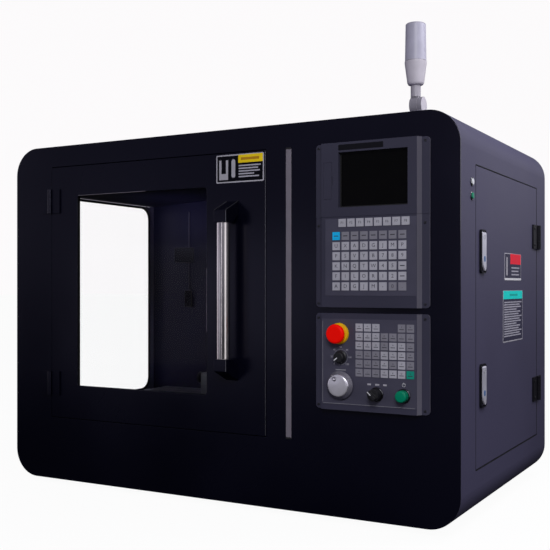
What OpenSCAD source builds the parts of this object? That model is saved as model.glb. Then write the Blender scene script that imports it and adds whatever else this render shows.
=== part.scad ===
// Desktop CNC milling machine in a closed casing. Millimetres, +Z up.
// Everything is set out from the casing's left, front, bottom corner:
// x to the right, y to the rear, z up. The module on_datum() then moves
// it so that the origin is on the floor, under the middle of the machine.

/* [Casing] */
// Width of the casing
case_w = 1200; // [1000:10:1440]
// Depth of the casing
case_d = 728; // [660:4:880]
// Height of the casing, without its feet
case_h = 849; // [800:5:1020]
// Radius of the casing's four long edges
case_r = 69; // [40:1:90]
// Thickness of the wrapped sheet
wrap_t = 3; // [2:0.5:4]
// Thickness of the front panel
front_t = 4; // [3:0.5:6]
// Thickness of the rear panel
rear_t = 3; // [2:0.5:4]
// Height that the feet lift the casing
foot_h = 16; // [10:1:30]
// Diameter of a foot's pad
foot_d = 64; // [40:2:90]

/* [Front door] */
// Distance from the casing's left side to the door
door_x = 122; // [115:1:150]
// Distance from the casing's bottom to the door
door_z = 158; // [120:1:180]
// Width of the casing that is left to the right of the door
door_right_zone = 446; // [440:1:480]
// Height of the casing that is left above the door
door_top_zone = 54; // [50:1:90]
// Depth of the door with its folded edges
door_t = 22; // [16:1:30]
// Thickness of the door's skin and of the side door's skin
skin_t = 3; // [2:0.5:4]
// Running gap round both doors
door_gap = 1.5; // [1:0.5:3]
// Door's border to the left of its window
window_left = 85; // [70:1:110]
// Door's border to the right of its window
window_right = 157; // [150:1:180]
// Door's border below its window
window_low = 83; // [60:1:120]
// Door's border above its window
window_top = 75; // [60:1:120]
// Radius of the front window's corners
window_r = 8; // [4:1:20]
// Thickness of the clear panes
pane_t = 5; // [3:0.5:8]

/* [Handle] */
// Diameter of the polished tube
tube_d = 30; // [20:1:34]
// Visible length of the tube
tube_len = 305; // [200:5:400]
// Distance from the door's right edge to the tube's axis
tube_inset = 87; // [80:1:120]
// Distance that the handle stands out from the door
handle_reach = 53; // [45:1:70]
// Width of the two cast brackets
bracket_w = 32; // [28:1:44]

/* [Hinges] */
// Height of one hinge
hinge_h = 61; // [48:1:80]
// Width of a hinge leaf
leaf_w = 25; // [22:1:30]
// Width of the long leaf of the side door's hinges
long_leaf_w = 42; // [25:1:60]
// Thickness of a hinge leaf
leaf_t = 4; // [3:0.5:5]
// Diameter of a hinge pin
pin_d = 5; // [4:0.5:6]
// Radius of a hinge knuckle
knuckle_r = 5.2; // [4.5:0.1:7]
// Radial clearance of pins and shafts in their bores
fit = 0.05; // [0.02:0.01:0.1]
// Distance from a door's edge to its hinges
hinge_inset = 56; // [40:1:90]

/* [Side door] */
// Distance from the casing's front to the side door
side_y = 104; // [95:1:130]
// Depth of the casing that is left behind the side door
side_rear_zone = 95; // [90:1:120]
// Distance from the casing's bottom to the side door
side_z = 109; // [90:1:140]
// Height of the casing that is left above the side door
side_top_zone = 105; // [90:1:140]
// Depth of the side door with its folded edges
side_t = 18; // [14:1:24]

/* [Left window] */
// Distance from the casing's front to the left window
lwin_y = 150; // [120:1:200]
// Depth of the casing that is left behind the left window
lwin_rear_zone = 163; // [150:1:200]
// Distance from the casing's bottom to the left window
lwin_z = 170; // [150:1:200]
// Height of the casing that is left above the left window
lwin_top_zone = 112; // [110:1:140]
// Radius of the left window's corners
lwin_r = 35; // [10:1:60]

/* [Control panels] */
// Width of the control panels over their flanges
panel_w = 256; // [250:1:290]
// Distance from the casing's right side to the panels
panel_inset = 62; // [50:1:75]
// Height of the display and keyboard units together
display_h = 348; // [340:1:380]
// Height of the keyboard unit
keyboard_h = 191; // [188:1:200]
// Distance from the casing's top to the display unit
display_drop = 54; // [40:1:60]
// Height of the operator panel
operator_h = 204; // [200:1:230]
// Gap between the keyboard unit and the operator panel
panel_gap = 12; // [6:1:20]
// Thickness of the panels' flanges
flange_t = 4; // [3:0.5:6]
// Height of the panels' raised middle over the flange
raise_t = 12; // [8:1:16]
// Width of the screen
screen_w = 155; // [140:1:170]
// Height of the screen
screen_h = 116; // [105:1:125]
// Side of a keyboard key
key = 17; // [14:0.5:19]
// Spacing of the keyboard keys
key_pitch = 21.2; // [20:0.1:21.6]
// Side of an operator key
op_key = 16; // [13:0.5:17]
// Spacing of the operator keys
op_pitch = 18.8; // [18:0.1:19]

/* [Operating elements] */
// Diameter of the emergency stop's mushroom
estop_d = 41; // [32:1:44]
// Travel of the emergency stop
estop_travel = 4; // [3:0.5:5]
// Diameter of the handwheel
wheel_d = 60; // [50:1:64]
// Length of the handwheel's rim
wheel_t = 14; // [10:1:24]
// Diameter of the override knob
override_d = 28; // [24:1:30]
// Diameter of the pushbutton and of the selector
button_d = 24; // [18:1:25]
// Travel of the pushbuttons
button_travel = 3; // [2:0.5:4]
// Diameter of the two buttons on the right side
side_button_d = 15; // [12:1:18]

/* [Signal lamp] */
// Diameter of the lamp's lens
lens_d = 47; // [40:1:56]
// Height of the lens
lens_h = 87; // [60:1:120]
// Height of the lamp's lower housing
socket_h = 56; // [40:1:70]
// Height of the stem below the housing
stem_h = 26; // [16:1:60]
// Diameter of the stem
stem_d = 23; // [18:1:26]
// Diameter of the folding joint
elbow_d = 39; // [34:1:46]
// Height of the folding joint's axis over the casing
elbow_z = 55; // [45:1:70]
// Distance from the casing's right side to the lamp
lamp_inset = 171; // [150:1:220]
// Distance from the casing's front to the lamp
lamp_y = 218; // [180:1:260]

/* [Mill] */
// Distance from the column's front face back to the spindle's axis
throat = 170; // [160:1:180]
// Height of the table's top over the casing's bottom
table_z = 200; // [195:1:210]
// Depth of the table
table_d = 160; // [150:1:176]
// Thickness of the table
table_t = 40; // [34:1:42]
// Full travel of the table to left and right
travel_x = 190; // [150:2:200]
// Width of a table slot's mouth
slot_w = 12; // [8:1:14]
// Width of the milling head
head_w = 120; // [110:1:124]
// Height of the head casting
head_h = 170; // [160:1:180]
// Height of the spindle nose over the table
nose_gap = 140; // [130:1:150]
// Radius of the spindle's shaft
spindle_r = 25; // [20:1:28]
// Radius of the collet bore in the spindle nose
collet_r = 8; // [5:0.5:10]
// Depth of the collet bore
collet_depth = 60; // [40:1:80]
// Width of a guide rail
rail_w = 15; // [12:1:20]
// Height of a guide rail
rail_h = 13; // [10:1:15]
// Diameter of the lead screws
screw_d = 14; // [10:1:16]
// Gap between guide rails and the castings that run on them
run_gap = 0.3; // [0.2:0.05:0.4]

/* [Hidden] */
$fn = 64;

// Room that parts take beyond the casing's right side and its rear
side_reach = 2 * knuckle_r + run_gap;
rear_reach = 6;
left_x = -(case_w + side_reach) / 2;
front_y = (handle_reach - case_d - rear_reach) / 2;
seam = 0.3;
fold_t = 2;

// Front door, its window, its handle and its hinge line
door_w = case_w - door_x - door_right_zone;
door_h = case_h - door_z - door_top_zone;
win_x = door_x + window_left;
win_z = door_z + window_low;
win_w = door_w - window_left - window_right;
win_h = door_h - window_low - window_top;
jamb_d = front_t + door_t + 2;
lip_w = 12;
seal_w = 16;
tube_x = door_x + door_w - tube_inset;
tube_y = tube_d / 2 - handle_reach;
tube_z = door_z + (door_h - tube_len) / 2 + 5;
hinge_y = -(knuckle_r + run_gap);
hinge_x = door_x - 2;
knuckle_h = 20;

// Side door and its hinge line
side_w = case_d - side_y - side_rear_zone;
side_h = case_h - side_z - side_top_zone;
side_jamb_d = side_t + 4;
side_hinge_y = side_y + side_w + 2;
side_hinge_x = case_w - hinge_y;
side_hinge_low = hinge_inset + 33;
side_hinge_high = hinge_inset + 39;

// Latches on the side door
latch_w = 36;
latch_h = 92;
latch_t = 5;
latch_y = side_y + 42;
latch_low_z = side_z + 126;
latch_high_z = side_z + side_h - 132 - latch_h;
latch_rim = 4;
lever_w = latch_w - 2 * latch_rim - 2 * seam;
lever_pin = [3.3, latch_h - 8];
lever_pin_r = 1.3;
lever_r = 2.9;
lever_t = 3.4;

// Left window
lwin_w = case_d - lwin_y - lwin_rear_zone;
lwin_h = case_h - lwin_z - lwin_top_zone;
pane_lap = 7;

// Chamber and cabinet
partition_t = 3;
partition_x = case_w - panel_inset - panel_w - 14;
wrap_seam_x = partition_x + partition_t / 2;
ceiling_z = case_h - 104;
pan_z = table_z - 100;
sheet_t = 2;
light_x = case_w - door_right_zone + 52;
light_w = 13;

// Control panels
panel_x = case_w - panel_inset - panel_w;
keyboard_z = case_h - display_drop - display_h;
display_z = keyboard_z + keyboard_h;
operator_z = keyboard_z - panel_gap - operator_h;
face = flange_t + raise_t;
film_t = 0.6;
top_film = face + film_t;
screen_x = panel_x + 58;
screen_z = display_z + 20;
screen_sink = 10;
dial_x = 64;
estop_x = 60;
estop_z = 161;
override_z = 112;
wheel_z = 53;
selector_x = 146;
start_x = 205;
switch_z = 38;
knob_out = 32;
start_out = 22;
bezel_r = 15;
side_button_y = 75;
side_button_z = [case_h - 142, case_h - 171];
side_button_r = side_button_d / 2 - 1;

// Signal lamp
lamp_x = case_w - lamp_inset;
elbow_t = 18;
ear_w = 11;
stem_off = -4;
stem_z = case_h + elbow_z + elbow_d / 2 + 0.5;
socket_z = case_h + elbow_z + elbow_d / 2 + stem_h;
lens_z = socket_z + socket_h;

// Mill
motor_len = 65;
motor_w = 57;
spindle_x = (wrap_t + partition_x + motor_len) / 2;
column_y = case_d - 223;
column_w = 140;
spindle_y = column_y - throat;
table_len = partition_x - wrap_t - motor_len - travel_x - 40;
table_x = spindle_x - table_len / 2;
table_y = spindle_y - table_d / 2;
way = 22;
saddle_t = 30;
saddle_w = 280;
saddle_d = table_d + 20;
saddle_z = table_z - table_t - way - saddle_t;
bed_z = saddle_z - way;
bed_y = 110;
mill_rear = case_d - 30;
liner_y = column_y - 25;
opening_w = column_w + 10;
nose_z = table_z + nose_gap;
head_z = nose_z + 30;
head_y = spindle_y - 50;
column_top = ceiling_z + 5;
shoe_w = 34;
y_rail_x = saddle_w / 2 - 40;
x_rail_y = saddle_d / 2 - 30;
z_rail_x = head_w / 2 - 18;
nut_w = 36;
nut_len = 60;
shoe_gap = 1.5;
screw_r = screw_d / 2;
y_screw_z = bed_z + way / 2;
x_screw_z = saddle_z + saddle_t + way / 2;
z_screw_y = column_y - way / 2;
bearing_t = 15;

// Vise
vise_w = 80;
vise_len = 170;
vise_base = 25;
vise_h = 58;
vise_x = spindle_x - vise_len / 2;
vise_jaw_x = vise_x + 74;
vise_screw_z = table_z + 40;
vise_screw_r = 7;

// Cabinet equipment
plate_x = partition_x + 14;
plate_w = case_w - plate_x - 20;
plate_y = case_d - rear_t - 28;
plate_z = 230;
plate_h = case_h - plate_z - 60;
drive_w = 55;
drive_d = 150;
drive_h = 180;
fan_x = case_w - 160;
fan_z = 140;
entry_x = fan_x - 120;
entry_z = 60;
entry_r = 11;
gland_r = 14;
fan_w = 120;
fan_t = 38;
fan_r = 56;

// Moves the corner that the sizes are set out from to its place
module on_datum() {
    translate([left_x, front_y, foot_h]) children();
}

// Block from one corner
module block(at, size) {
    translate(at) cube(size);
}

// Stands a flat outline up across the casing, from y to y + t
module across(y, t) {
    translate([0, y + t, 0]) rotate([90, 0, 0]) linear_extrude(t) children();
}

// Stands a flat outline up along the casing's side, from x to x + t
module along(x, t) {
    translate([x, 0, 0]) rotate([90, 0, 90]) linear_extrude(t) children();
}

// Cylinder along x, from its low end
module rod_x(at, r, l) {
    translate(at) rotate([0, 90, 0]) cylinder(r = r, h = l);
}

// Cylinder along y, from its front end
module rod_y(at, r, l) {
    translate(at) rotate([-90, 0, 0]) cylinder(r = r, h = l);
}

// Cylinder along z, from its low end
module rod_z(at, r, l) {
    translate(at) cylinder(r = r, h = l);
}

// Flat rectangle with round corners, from its low corner
module round_rect(at, size, r) {
    translate(at) union() {
        translate([r, 0]) square([size[0] - 2 * r, size[1]]);
        translate([0, r]) square([size[0], size[1] - 2 * r]);
        for (x = [r, size[0] - r], y = [r, size[1] - r]) translate([x, y]) circle(r = r);
    }
}

// Flat frame of one width round a rectangle
module flat_frame(at, size, w) {
    difference() {
        translate([at[0] - w, at[1] - w]) square([size[0] + 2 * w, size[1] + 2 * w]);
        translate(at) square(size);
    }
}

// Flat frame that laps inside a rectangle
module flat_lip(at, size, w) {
    flat_frame([at[0] + w, at[1] + w], [size[0] - 2 * w, size[1] - 2 * w], w);
}

// Places a round part on a control panel, its axis pointing out of the panel
module on_panel(x, z, out) {
    translate([panel_x + x, -out, operator_z + z]) rotate([90, 0, 0]) children();
}

// Places a round part on the casing's right side, its axis pointing out
module on_side(y, z, out) {
    translate([case_w + out, y, z]) rotate([0, 90, 0]) children();
}

// ---- Casing ----

// Left sheet of the wrap, with its window. The two sheets meet over the partition
module left_wrap() {
    color("#3c3c4a") on_datum() difference() {
        wrap_sheet(0, wrap_seam_x);
        along(-1, wrap_t + 2) round_rect([lwin_y, lwin_z], [lwin_w, lwin_h], lwin_r);
    }
}

// Right sheet of the wrap, with its doorway
module right_wrap() {
    color("#3c3c4a") on_datum() {
        difference() {
            wrap_sheet(wrap_seam_x, case_w - wrap_seam_x);
            block([case_w - wrap_t - 1, side_y - door_gap, side_z - door_gap],
                [wrap_t + 2, side_w + 2 * door_gap, side_h + 2 * door_gap]);
            for (z = side_button_z) on_side(side_button_y, z, -wrap_t - 1)
                cylinder(d = side_button_d, h = wrap_t + 2);
        }
        side_jamb();
    }
}

// The stretch of the wrap from x to x + w
module wrap_sheet(x, w) {
    across(front_t, case_d - front_t - rear_t) intersection() {
        difference() {
            round_rect([0, 0], [case_w, case_h], case_r);
            round_rect([wrap_t, wrap_t], [case_w - 2 * wrap_t, case_h - 2 * wrap_t], case_r - wrap_t);
        }
        translate([x, 0]) square([w, case_h]);
    }
}

// Folded frame behind the side door's opening, welded to the wrap
module side_jamb() {
    at = [side_y - door_gap, side_z - door_gap];
    size = [side_w + 2 * door_gap, side_h + 2 * door_gap];
    along(case_w - side_jamb_d, side_jamb_d - 1) flat_frame(at, size, fold_t);
    along(case_w - side_jamb_d, fold_t) flat_lip(at, size, lip_w);
}

module front_panel() {
    at = [door_x - door_gap, door_z - door_gap];
    size = [door_w + 2 * door_gap, door_h + 2 * door_gap];
    color("#16161f") on_datum() {
        across(0, front_t) difference() {
            round_rect([0, 0], [case_w, case_h], case_r);
            translate(at) square(size);
            translate([light_x - seam, door_z - seam]) square([light_w + 2 * seam, door_h + 2 * seam]);
            translate([panel_x + 20, keyboard_z + 10]) square([panel_w - 40, display_h - 20]);
            translate([panel_x + 20, operator_z + 10]) square([panel_w - 40, operator_h - 20]);
        }
        across(front_t - 1, jamb_d - front_t + 1) flat_frame(at, size, fold_t);
        across(jamb_d - fold_t, fold_t) flat_lip(at, size, lip_w);
    }
}

module rear_panel() {
    color("#34343f") on_datum() across(case_d - rear_t, rear_t) difference() {
        round_rect([0, 0], [case_w, case_h], case_r);
        translate([fan_x, fan_z]) fan_slots();
        translate([fan_x, case_h - 120]) fan_slots();
        translate([entry_x, entry_z]) circle(r = gland_r + seam);
    }
}

// Slots that fill a circle, between bars that are left standing
module fan_slots() {
    difference() {
        circle(r = fan_r - 2);
        for (i = [-3:3]) translate([-fan_r, i * 15 - 2]) square([2 * fan_r, 4]);
        translate([-2, -fan_r]) square([4, 2 * fan_r]);
    }
}

module levelling_feet() {
    xs = [110, case_w - 130];
    ys = [90, case_d - 90];
    color("#26262b") on_datum() for (x = xs, y = ys) translate([x, y, -foot_h]) {
        cylinder(d = foot_d, h = 5);
        translate([0, 0, 5]) cylinder(d1 = foot_d, d2 = 30, h = 3);
        cylinder(r = 8, h = foot_h - 4);
        translate([0, 0, foot_h - 4]) cylinder(r = 18, h = 4);
    }
}

module partition_wall() {
    color("#d8d8dc") on_datum() difference() {
        block([partition_x, front_t, wrap_t], [partition_t, case_d - front_t - rear_t, case_h - 2 * wrap_t]);
        rod_x([partition_x - 1, case_d - 60, 60], 25, partition_t + 2);
    }
}

// Plan of the chamber's rear wall, from the left, as far as its opening
function rear_left() = [[wrap_t + seam, liner_y + 110], [opening_x() - 100, liner_y], [opening_x(), liner_y]];
function rear_right() = [[opening_x() + opening_w, liner_y], [opening_x() + opening_w + 60, liner_y],
    [partition_x - seam, liner_y + 80]];
function opening_x() = spindle_x - opening_w / 2;
function raise(points, by) = [for (p = points) [p[0], p[1] + by]];
function backwards(points) = [for (i = [len(points) - 1:-1:0]) points[i]];

module chamber_liner() {
    left = rear_left();
    right = rear_right();
    front = jamb_d + 5;
    color("#4a4a55") on_datum() {
        for (run = [left, right]) translate([0, 0, pan_z + sheet_t])
            linear_extrude(ceiling_z - pan_z - sheet_t + 1)
                polygon(concat(run, backwards(raise(run, sheet_t + 0.2))));
        translate([0, 0, ceiling_z]) linear_extrude(sheet_t) polygon(concat([[wrap_t + seam, front]],
            raise(left, sheet_t + 0.2), raise(right, sheet_t + 0.2), [[partition_x - seam, front]]));
    }
}

// Pan with a raised rim, cut out round the bed, and a cover over the front motor
module chip_pan() {
    x0 = wrap_t + seam;
    x1 = partition_x - seam;
    y0 = jamb_d + 5;
    y1 = liner_y + 120;
    hole_x = spindle_x - saddle_w / 2 - 12;
    hole_w = saddle_w + 24;
    hole_y = bed_y - 15;
    hump_x = spindle_x - motor_w / 2 - 4;
    hump_w = motor_w + 8;
    hump_y = bed_y - motor_len - 4;
    hump_h = y_screw_z + motor_w / 2 + 4 + sheet_t - pan_z;
    color("#4c4c57") on_datum() {
        difference() {
            block([x0, y0, pan_z], [x1 - x0, y1 - y0, sheet_t]);
            block([hole_x, hole_y, pan_z - 1], [hole_w, y1, sheet_t + 2]);
            block([hump_x, hump_y, pan_z - 1], [hump_w, hole_y - hump_y + 1, sheet_t + 2]);
        }
        for (x = [x0, x1 - sheet_t]) block([x, y0, pan_z], [sheet_t, liner_y - y0, 30]);
        block([x0, y0, pan_z], [x1 - x0, sheet_t, 30]);
        for (x = [hole_x - sheet_t, hole_x + hole_w])
            block([x, hole_y, pan_z - 12], [sheet_t, column_y - hole_y - 40, 12 + sheet_t]);
        difference() {
            block([hump_x - sheet_t, hump_y - sheet_t, pan_z],
                [hump_w + 2 * sheet_t, bed_y - hump_y + 10, hump_h]);
            block([hump_x, hump_y, pan_z - 1], [hump_w, bed_y, hump_h - sheet_t + 1]);
        }
    }
}

module side_window_pane() {
    size = [lwin_w + 2 * pane_lap, lwin_h + 2 * pane_lap];
    color("#dfe8ee", 0.4) on_datum() along(wrap_t, pane_t)
        round_rect([lwin_y - pane_lap, lwin_z - pane_lap], size, lwin_r);
}

module light_strip() {
    color("#6a666d") on_datum() {
        block([light_x, -0.8, door_z], [light_w, front_t + 0.8, door_h]);
        block([light_x - 6, front_t, door_z - 6], [light_w + 12, 3, door_h + 12]);
    }
}

// ---- Hinges ----

// Fixed half of a hinge on the origin's z axis, its leaf towards -x, riveted to its pin
module fixed_half() {
    leaf_x = knuckle_r + 0.8;
    for (z = [0, hinge_h - knuckle_h]) {
        translate([0, 0, z]) cylinder(r = knuckle_r, h = knuckle_h);
        block([-leaf_x - 1, -hinge_y - leaf_t, z], [leaf_x + 1, leaf_t, knuckle_h]);
    }
    block([-leaf_x - leaf_w, -hinge_y - leaf_t, 0], [leaf_w, leaf_t, hinge_h]);
    cylinder(d = pin_d, h = hinge_h);
}

// Moving half of a hinge, its leaf of width w towards +x
module moving_half(w) {
    leaf_x = knuckle_r + 0.8;
    low = knuckle_h + run_gap;
    difference() {
        union() {
            translate([0, 0, low]) cylinder(r = knuckle_r, h = hinge_h - 2 * low);
            block([0, -hinge_y - leaf_t, low], [leaf_x + 1, leaf_t, hinge_h - 2 * low]);
        }
        translate([0, 0, -1]) cylinder(d = pin_d + 2 * fit, h = hinge_h + 2);
    }
    block([leaf_x, -hinge_y - leaf_t, 0], [w, leaf_t, hinge_h]);
}

module at_front_hinges() {
    for (z = [door_z + hinge_inset, door_z + door_h - hinge_inset - hinge_h])
        translate([hinge_x, hinge_y, z]) children();
}

module at_side_hinges() {
    for (z = [side_z + side_hinge_low, side_z + side_h - side_hinge_high - hinge_h])
        translate([side_hinge_x, side_hinge_y, z]) rotate(90) mirror([1, 0, 0]) children();
}

module hinge_fixed_leaves() {
    color("#202028") on_datum() {
        at_front_hinges() fixed_half();
        at_side_hinges() fixed_half();
    }
}

module front_hinge_moving_leaves() {
    color("#202028") on_datum() at_front_hinges() moving_half(leaf_w);
}

// ---- Front door ----

module front_door_panel() {
    color("#14141d") on_datum() difference() {
        block([door_x, 0, door_z], [door_w, door_t, door_h]);
        block([door_x + fold_t, skin_t, door_z + fold_t],
            [door_w - 2 * fold_t, door_t - skin_t - fold_t, door_h - 2 * fold_t]);
        block([door_x + 14, skin_t, door_z + 14], [door_w - 28, door_t, door_h - 28]);
        across(-1, skin_t + 2) round_rect([win_x, win_z], [win_w, win_h], window_r);
    }
}

module door_window_pane() {
    lap = seal_w - 4;
    color("#dfe8ee", 0.4) on_datum() across(skin_t + 2, pane_t)
        translate([win_x - lap, win_z - lap]) square([win_w + 2 * lap, win_h + 2 * lap]);
}

module door_window_seal() {
    lap = seal_w - 4;
    color("#1b1b1f") on_datum() difference() {
        across(skin_t, pane_t + 4) flat_frame([win_x, win_z], [win_w, win_h], seal_w);
        block([win_x - lap, skin_t + 2, win_z - lap], [win_w + 2 * lap, pane_t, win_h + 2 * lap]);
    }
}

module handle_tube() {
    color("#d8d8dc") on_datum() rod_z([tube_x, tube_y, tube_z], tube_d / 2, tube_len);
}

// Bracket above the tube: its front stands over the tube and its top slopes back to the door
module bracket() {
    rise = 27;
    foot = 24;
    back = tube_d + 1;
    along(-bracket_w / 2, bracket_w) polygon([[-handle_reach, 0], [-handle_reach, rise],
        [0, rise + foot], [0, rise - 6], [back - handle_reach, 0]]);
}

module handle_brackets() {
    color("#181820") on_datum() {
        translate([tube_x, 0, tube_z + tube_len]) bracket();
        translate([tube_x, 0, tube_z]) mirror([0, 0, 1]) bracket();
    }
}

// ---- Side door ----

module side_door_panel() {
    color("#3a3a48") on_datum() difference() {
        block([case_w - side_t, side_y, side_z], [side_t, side_w, side_h]);
        block([case_w - side_t + fold_t, side_y + fold_t, side_z + fold_t],
            [side_t - skin_t - fold_t, side_w - 2 * fold_t, side_h - 2 * fold_t]);
        block([case_w - side_t - 1, side_y + 14, side_z + 14],
            [side_t - skin_t + 1, side_w - 28, side_h - 28]);
    }
}

module at_latch(z) {
    translate([case_w, latch_y, z]) children();
}

// Black frame of a latch, with the pin that the lever turns on
module latch_base() {
    slot_w = latch_w - 2 * latch_rim;
    along(0, latch_t) difference() {
        round_rect([-latch_w / 2, 0], [latch_w, latch_h], 6);
        translate([-slot_w / 2, 3]) square([slot_w, latch_h - 6]);
    }
    rod_y([lever_pin[0], -slot_w / 2 - 1, lever_pin[1]], lever_pin_r, slot_w + 2);
}

// Frames of the latches and moving halves of the hinges
module side_door_fittings() {
    color("#1a1a1f") on_datum() {
        for (z = [latch_low_z, latch_high_z]) at_latch(z) latch_base();
        at_side_hinges() moving_half(long_leaf_w);
    }
}

// Polished lever in its frame. It tapers at its lower end, and fingers pull that end out
module latch_lever() {
    half = lever_w / 2;
    difference() {
        union() {
            rod_y([lever_pin[0], -half, lever_pin[1]], lever_r, lever_w);
            along(lever_pin[0] - 0.3, lever_t) polygon([[-half, lever_pin[1]], [half, lever_pin[1]],
                [half, 16], [half - 2, 9], [half - 6, 5], [half - 10, 5], [4 - half, 17], [-half, 29]]);
        }
        rod_y([lever_pin[0], -half - 1, lever_pin[1]], lever_pin_r + fit, lever_w + 2);
    }
}

module upper_latch_lever() {
    color("#d9d9de") on_datum() at_latch(latch_high_z) latch_lever();
}

module lower_latch_lever() {
    color("#d9d9de") on_datum() at_latch(latch_low_z) latch_lever();
}

// ---- Control panels ----

// Flange with a raised middle whose sides slope a little
module bezel(z, h) {
    translate([panel_x, 0, z]) linear_extrude(h) polygon([[0, 0], [panel_w, 0], [panel_w, -flange_t],
        [panel_w - 17, -flange_t], [panel_w - 23, -face], [18, -face], [12, -flange_t], [0, -flange_t]]);
}

// Rounds the outer corners of everything on one panel
module panel_outline(z, h, r) {
    across(-face - 1, face + 60) round_rect([panel_x, z], [panel_w, h], r);
}

module display_bezel() {
    color("#484856") on_datum() difference() {
        union() {
            intersection() {
                bezel(display_z + 0.4, display_h - keyboard_h - 0.4);
                panel_outline(keyboard_z, display_h, 8);
            }
            block([panel_x + 22, -1, display_z + 6], [panel_w - 44, 40, display_h - keyboard_h - 18]);
        }
        block([screen_x, -face - 1, screen_z], [screen_w, screen_sink + 4, screen_h]);
        card_slot();
    }
}

// Groove round the card cover, with a notch for a finger nail
module card_slot() {
    x = panel_x + 23;
    z = display_z + 38;
    across(-face - 1, 1.8) difference() {
        translate([x, z]) square([20, 78]);
        translate([x + 0.8, z + 0.8]) square([18.4, 76.4]);
    }
    block([x + 20.2, -face - 1, z + 30], [2.4, 2.6, 17]);
}

module display_screen() {
    color("#050507") on_datum() block([screen_x, -face + screen_sink, screen_z], [screen_w, 3, screen_h]);
}

module keyboard_bezel() {
    color("#484856") on_datum() {
        intersection() {
            bezel(keyboard_z, keyboard_h);
            panel_outline(keyboard_z, display_h, 8);
        }
        block([panel_x + 22, -1, keyboard_z + 12], [panel_w - 44, 22, keyboard_h - 18]);
    }
}

// One raised key, named by its middle
module raised_key(x, z, w) {
    block([x - w / 2, -top_film - 1.2, z - w / 2], [w, 1.4, w]);
}

// Sealed films over the keyboard and the operator panel, with their raised keys
module keypads() {
    color("#b4b4bb") on_datum() {
        keyboard_film();
        operator_film();
    }
}

module keyboard_film() {
    x0 = panel_x + 53.8;
    z0 = keyboard_z + 44.6;
    union() {
        block([panel_x + 28, -top_film, keyboard_z + 25], [panel_w - 52, film_t, keyboard_h - 29]);
        for (i = [0:7], j = [0:5]) raised_key(x0 + i * key_pitch, z0 + j * key_pitch, key);
        for (i = [0:7]) raised_key(x0 + 14 + i * (key_pitch - 1), z0 + 5 * key_pitch + 27.4, key);
    }
}

module operator_film() {
    x0 = panel_x + 106.6;
    z0 = operator_z + 81;
    union() {
        difference() {
            block([panel_x + 20, -top_film, operator_z + 12], [panel_w - 44, film_t, operator_h - 24]);
            control_holes(40);
        }
        for (i = [0:6], j = [0:5]) if (j < 5 || abs(i - 3.5) > 1)
            raised_key(x0 + i * op_pitch, z0 + j * op_pitch, op_key);
    }
}

module operator_bezel() {
    color("#484856") on_datum() difference() {
        union() {
            intersection() {
                bezel(operator_z, operator_h);
                panel_outline(operator_z, operator_h, 8);
            }
            block([panel_x + 22, -1, operator_z + 12], [panel_w - 44, 30, operator_h - 24]);
        }
        control_holes(40);
    }
}

// Holes for everything that passes through the operator panel
module control_holes(depth) {
    for (c = [[estop_x, estop_z, 10], [dial_x, override_z, 3], [dial_x, wheel_z, 6],
        [selector_x, switch_z, 8], [start_x, switch_z, 8]])
        on_panel(c[0], c[1], -depth + 1) cylinder(r = c[2] + 0.3, h = depth + face + 2);
}

module estop_collar() {
    color("#e0a81e") on_datum() on_panel(estop_x, estop_z, top_film) rotate_extrude() polygon([[10 + fit, 0],
        [estop_d / 2 + 2.5, 0], [estop_d / 2 + 1, 5], [estop_d / 2 - 5, 7], [10 + fit, 7]]);
}

// Mushroom with a rounded rim on its stem
module estop_head() {
    r = estop_d / 2;
    low = 7 + estop_travel + 1.5;
    color("#e01408") on_datum() on_panel(estop_x, estop_z, top_film) rotate_extrude() {
        translate([0, -28]) square([10, 28 + low + 1]);
        translate([0, low]) square([r - 5, 12]);
        translate([r - 5, low + 6]) scale([5, 6]) circle(r = 1, $fn = 32);
    }
}

// Chromed rings round the selector, the start button and the two side buttons
module control_bezels() {
    color("#c9c9d0") on_datum() {
        for (x = [selector_x, start_x]) on_panel(x, switch_z, top_film) ring(bezel_r, button_d / 2 + seam, 4);
        for (z = side_button_z) on_side(side_button_y, z, 0)
            ring(side_button_d / 2 + 2, side_button_r + seam, 2);
    }
}

module ring(outer, inner, t) {
    rotate_extrude() polygon([[inner, 0], [outer, 0], [outer, t - 1.2], [outer - 1.2, t], [inner, t]]);
}

module override_knob() {
    r = override_d / 2;
    color("#1c1c20") on_datum() on_panel(dial_x, override_z, top_film) {
        difference() {
            rotate_extrude() polygon([[0, 0.4], [r, 0.4], [r, 3], [r - 2, 4], [r - 3, 13],
                [r - 4.5, 14.5], [0, 14.5]]);
            for (i = [0:11]) rotate(i * 30 + 15) translate([r, 0, 4.5]) cylinder(r = 2.4, h = 12, $fn = 24);
        }
        translate([0, 0, -24]) cylinder(r = 3, h = 25);
    }
}

// Electronic handwheel: a turned rim with a hollow for one finger
module handwheel() {
    r = wheel_d / 2;
    color("#d4d4da") on_datum() on_panel(dial_x, wheel_z, top_film) {
        difference() {
            rotate_extrude() polygon([[0, 3], [r - 3, 3], [r, 5], [r, wheel_t], [r - 2, wheel_t + 2],
                [r - 6, wheel_t + 3.4], [0, wheel_t + 4]]);
            translate([-r * 0.3, r * 0.56, wheel_t - 3]) cylinder(r = 6, h = 12);
        }
        translate([0, 0, -24]) cylinder(r = 6, h = 28);
    }
}

// Three-position selector whose lever points up to the left at rest
module selector_knob() {
    r = button_d / 2;
    color("#1a1a1e") on_datum() on_panel(selector_x, switch_z, top_film) {
        translate([0, 0, 1]) cylinder(r = r, h = knob_out - 10);
        rotate(45) block([-3.5, -r + 1.5, knob_out - 10], [7, 2 * r - 3, 10]);
        translate([0, 0, -24]) cylinder(r = 8, h = 26);
    }
}

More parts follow.
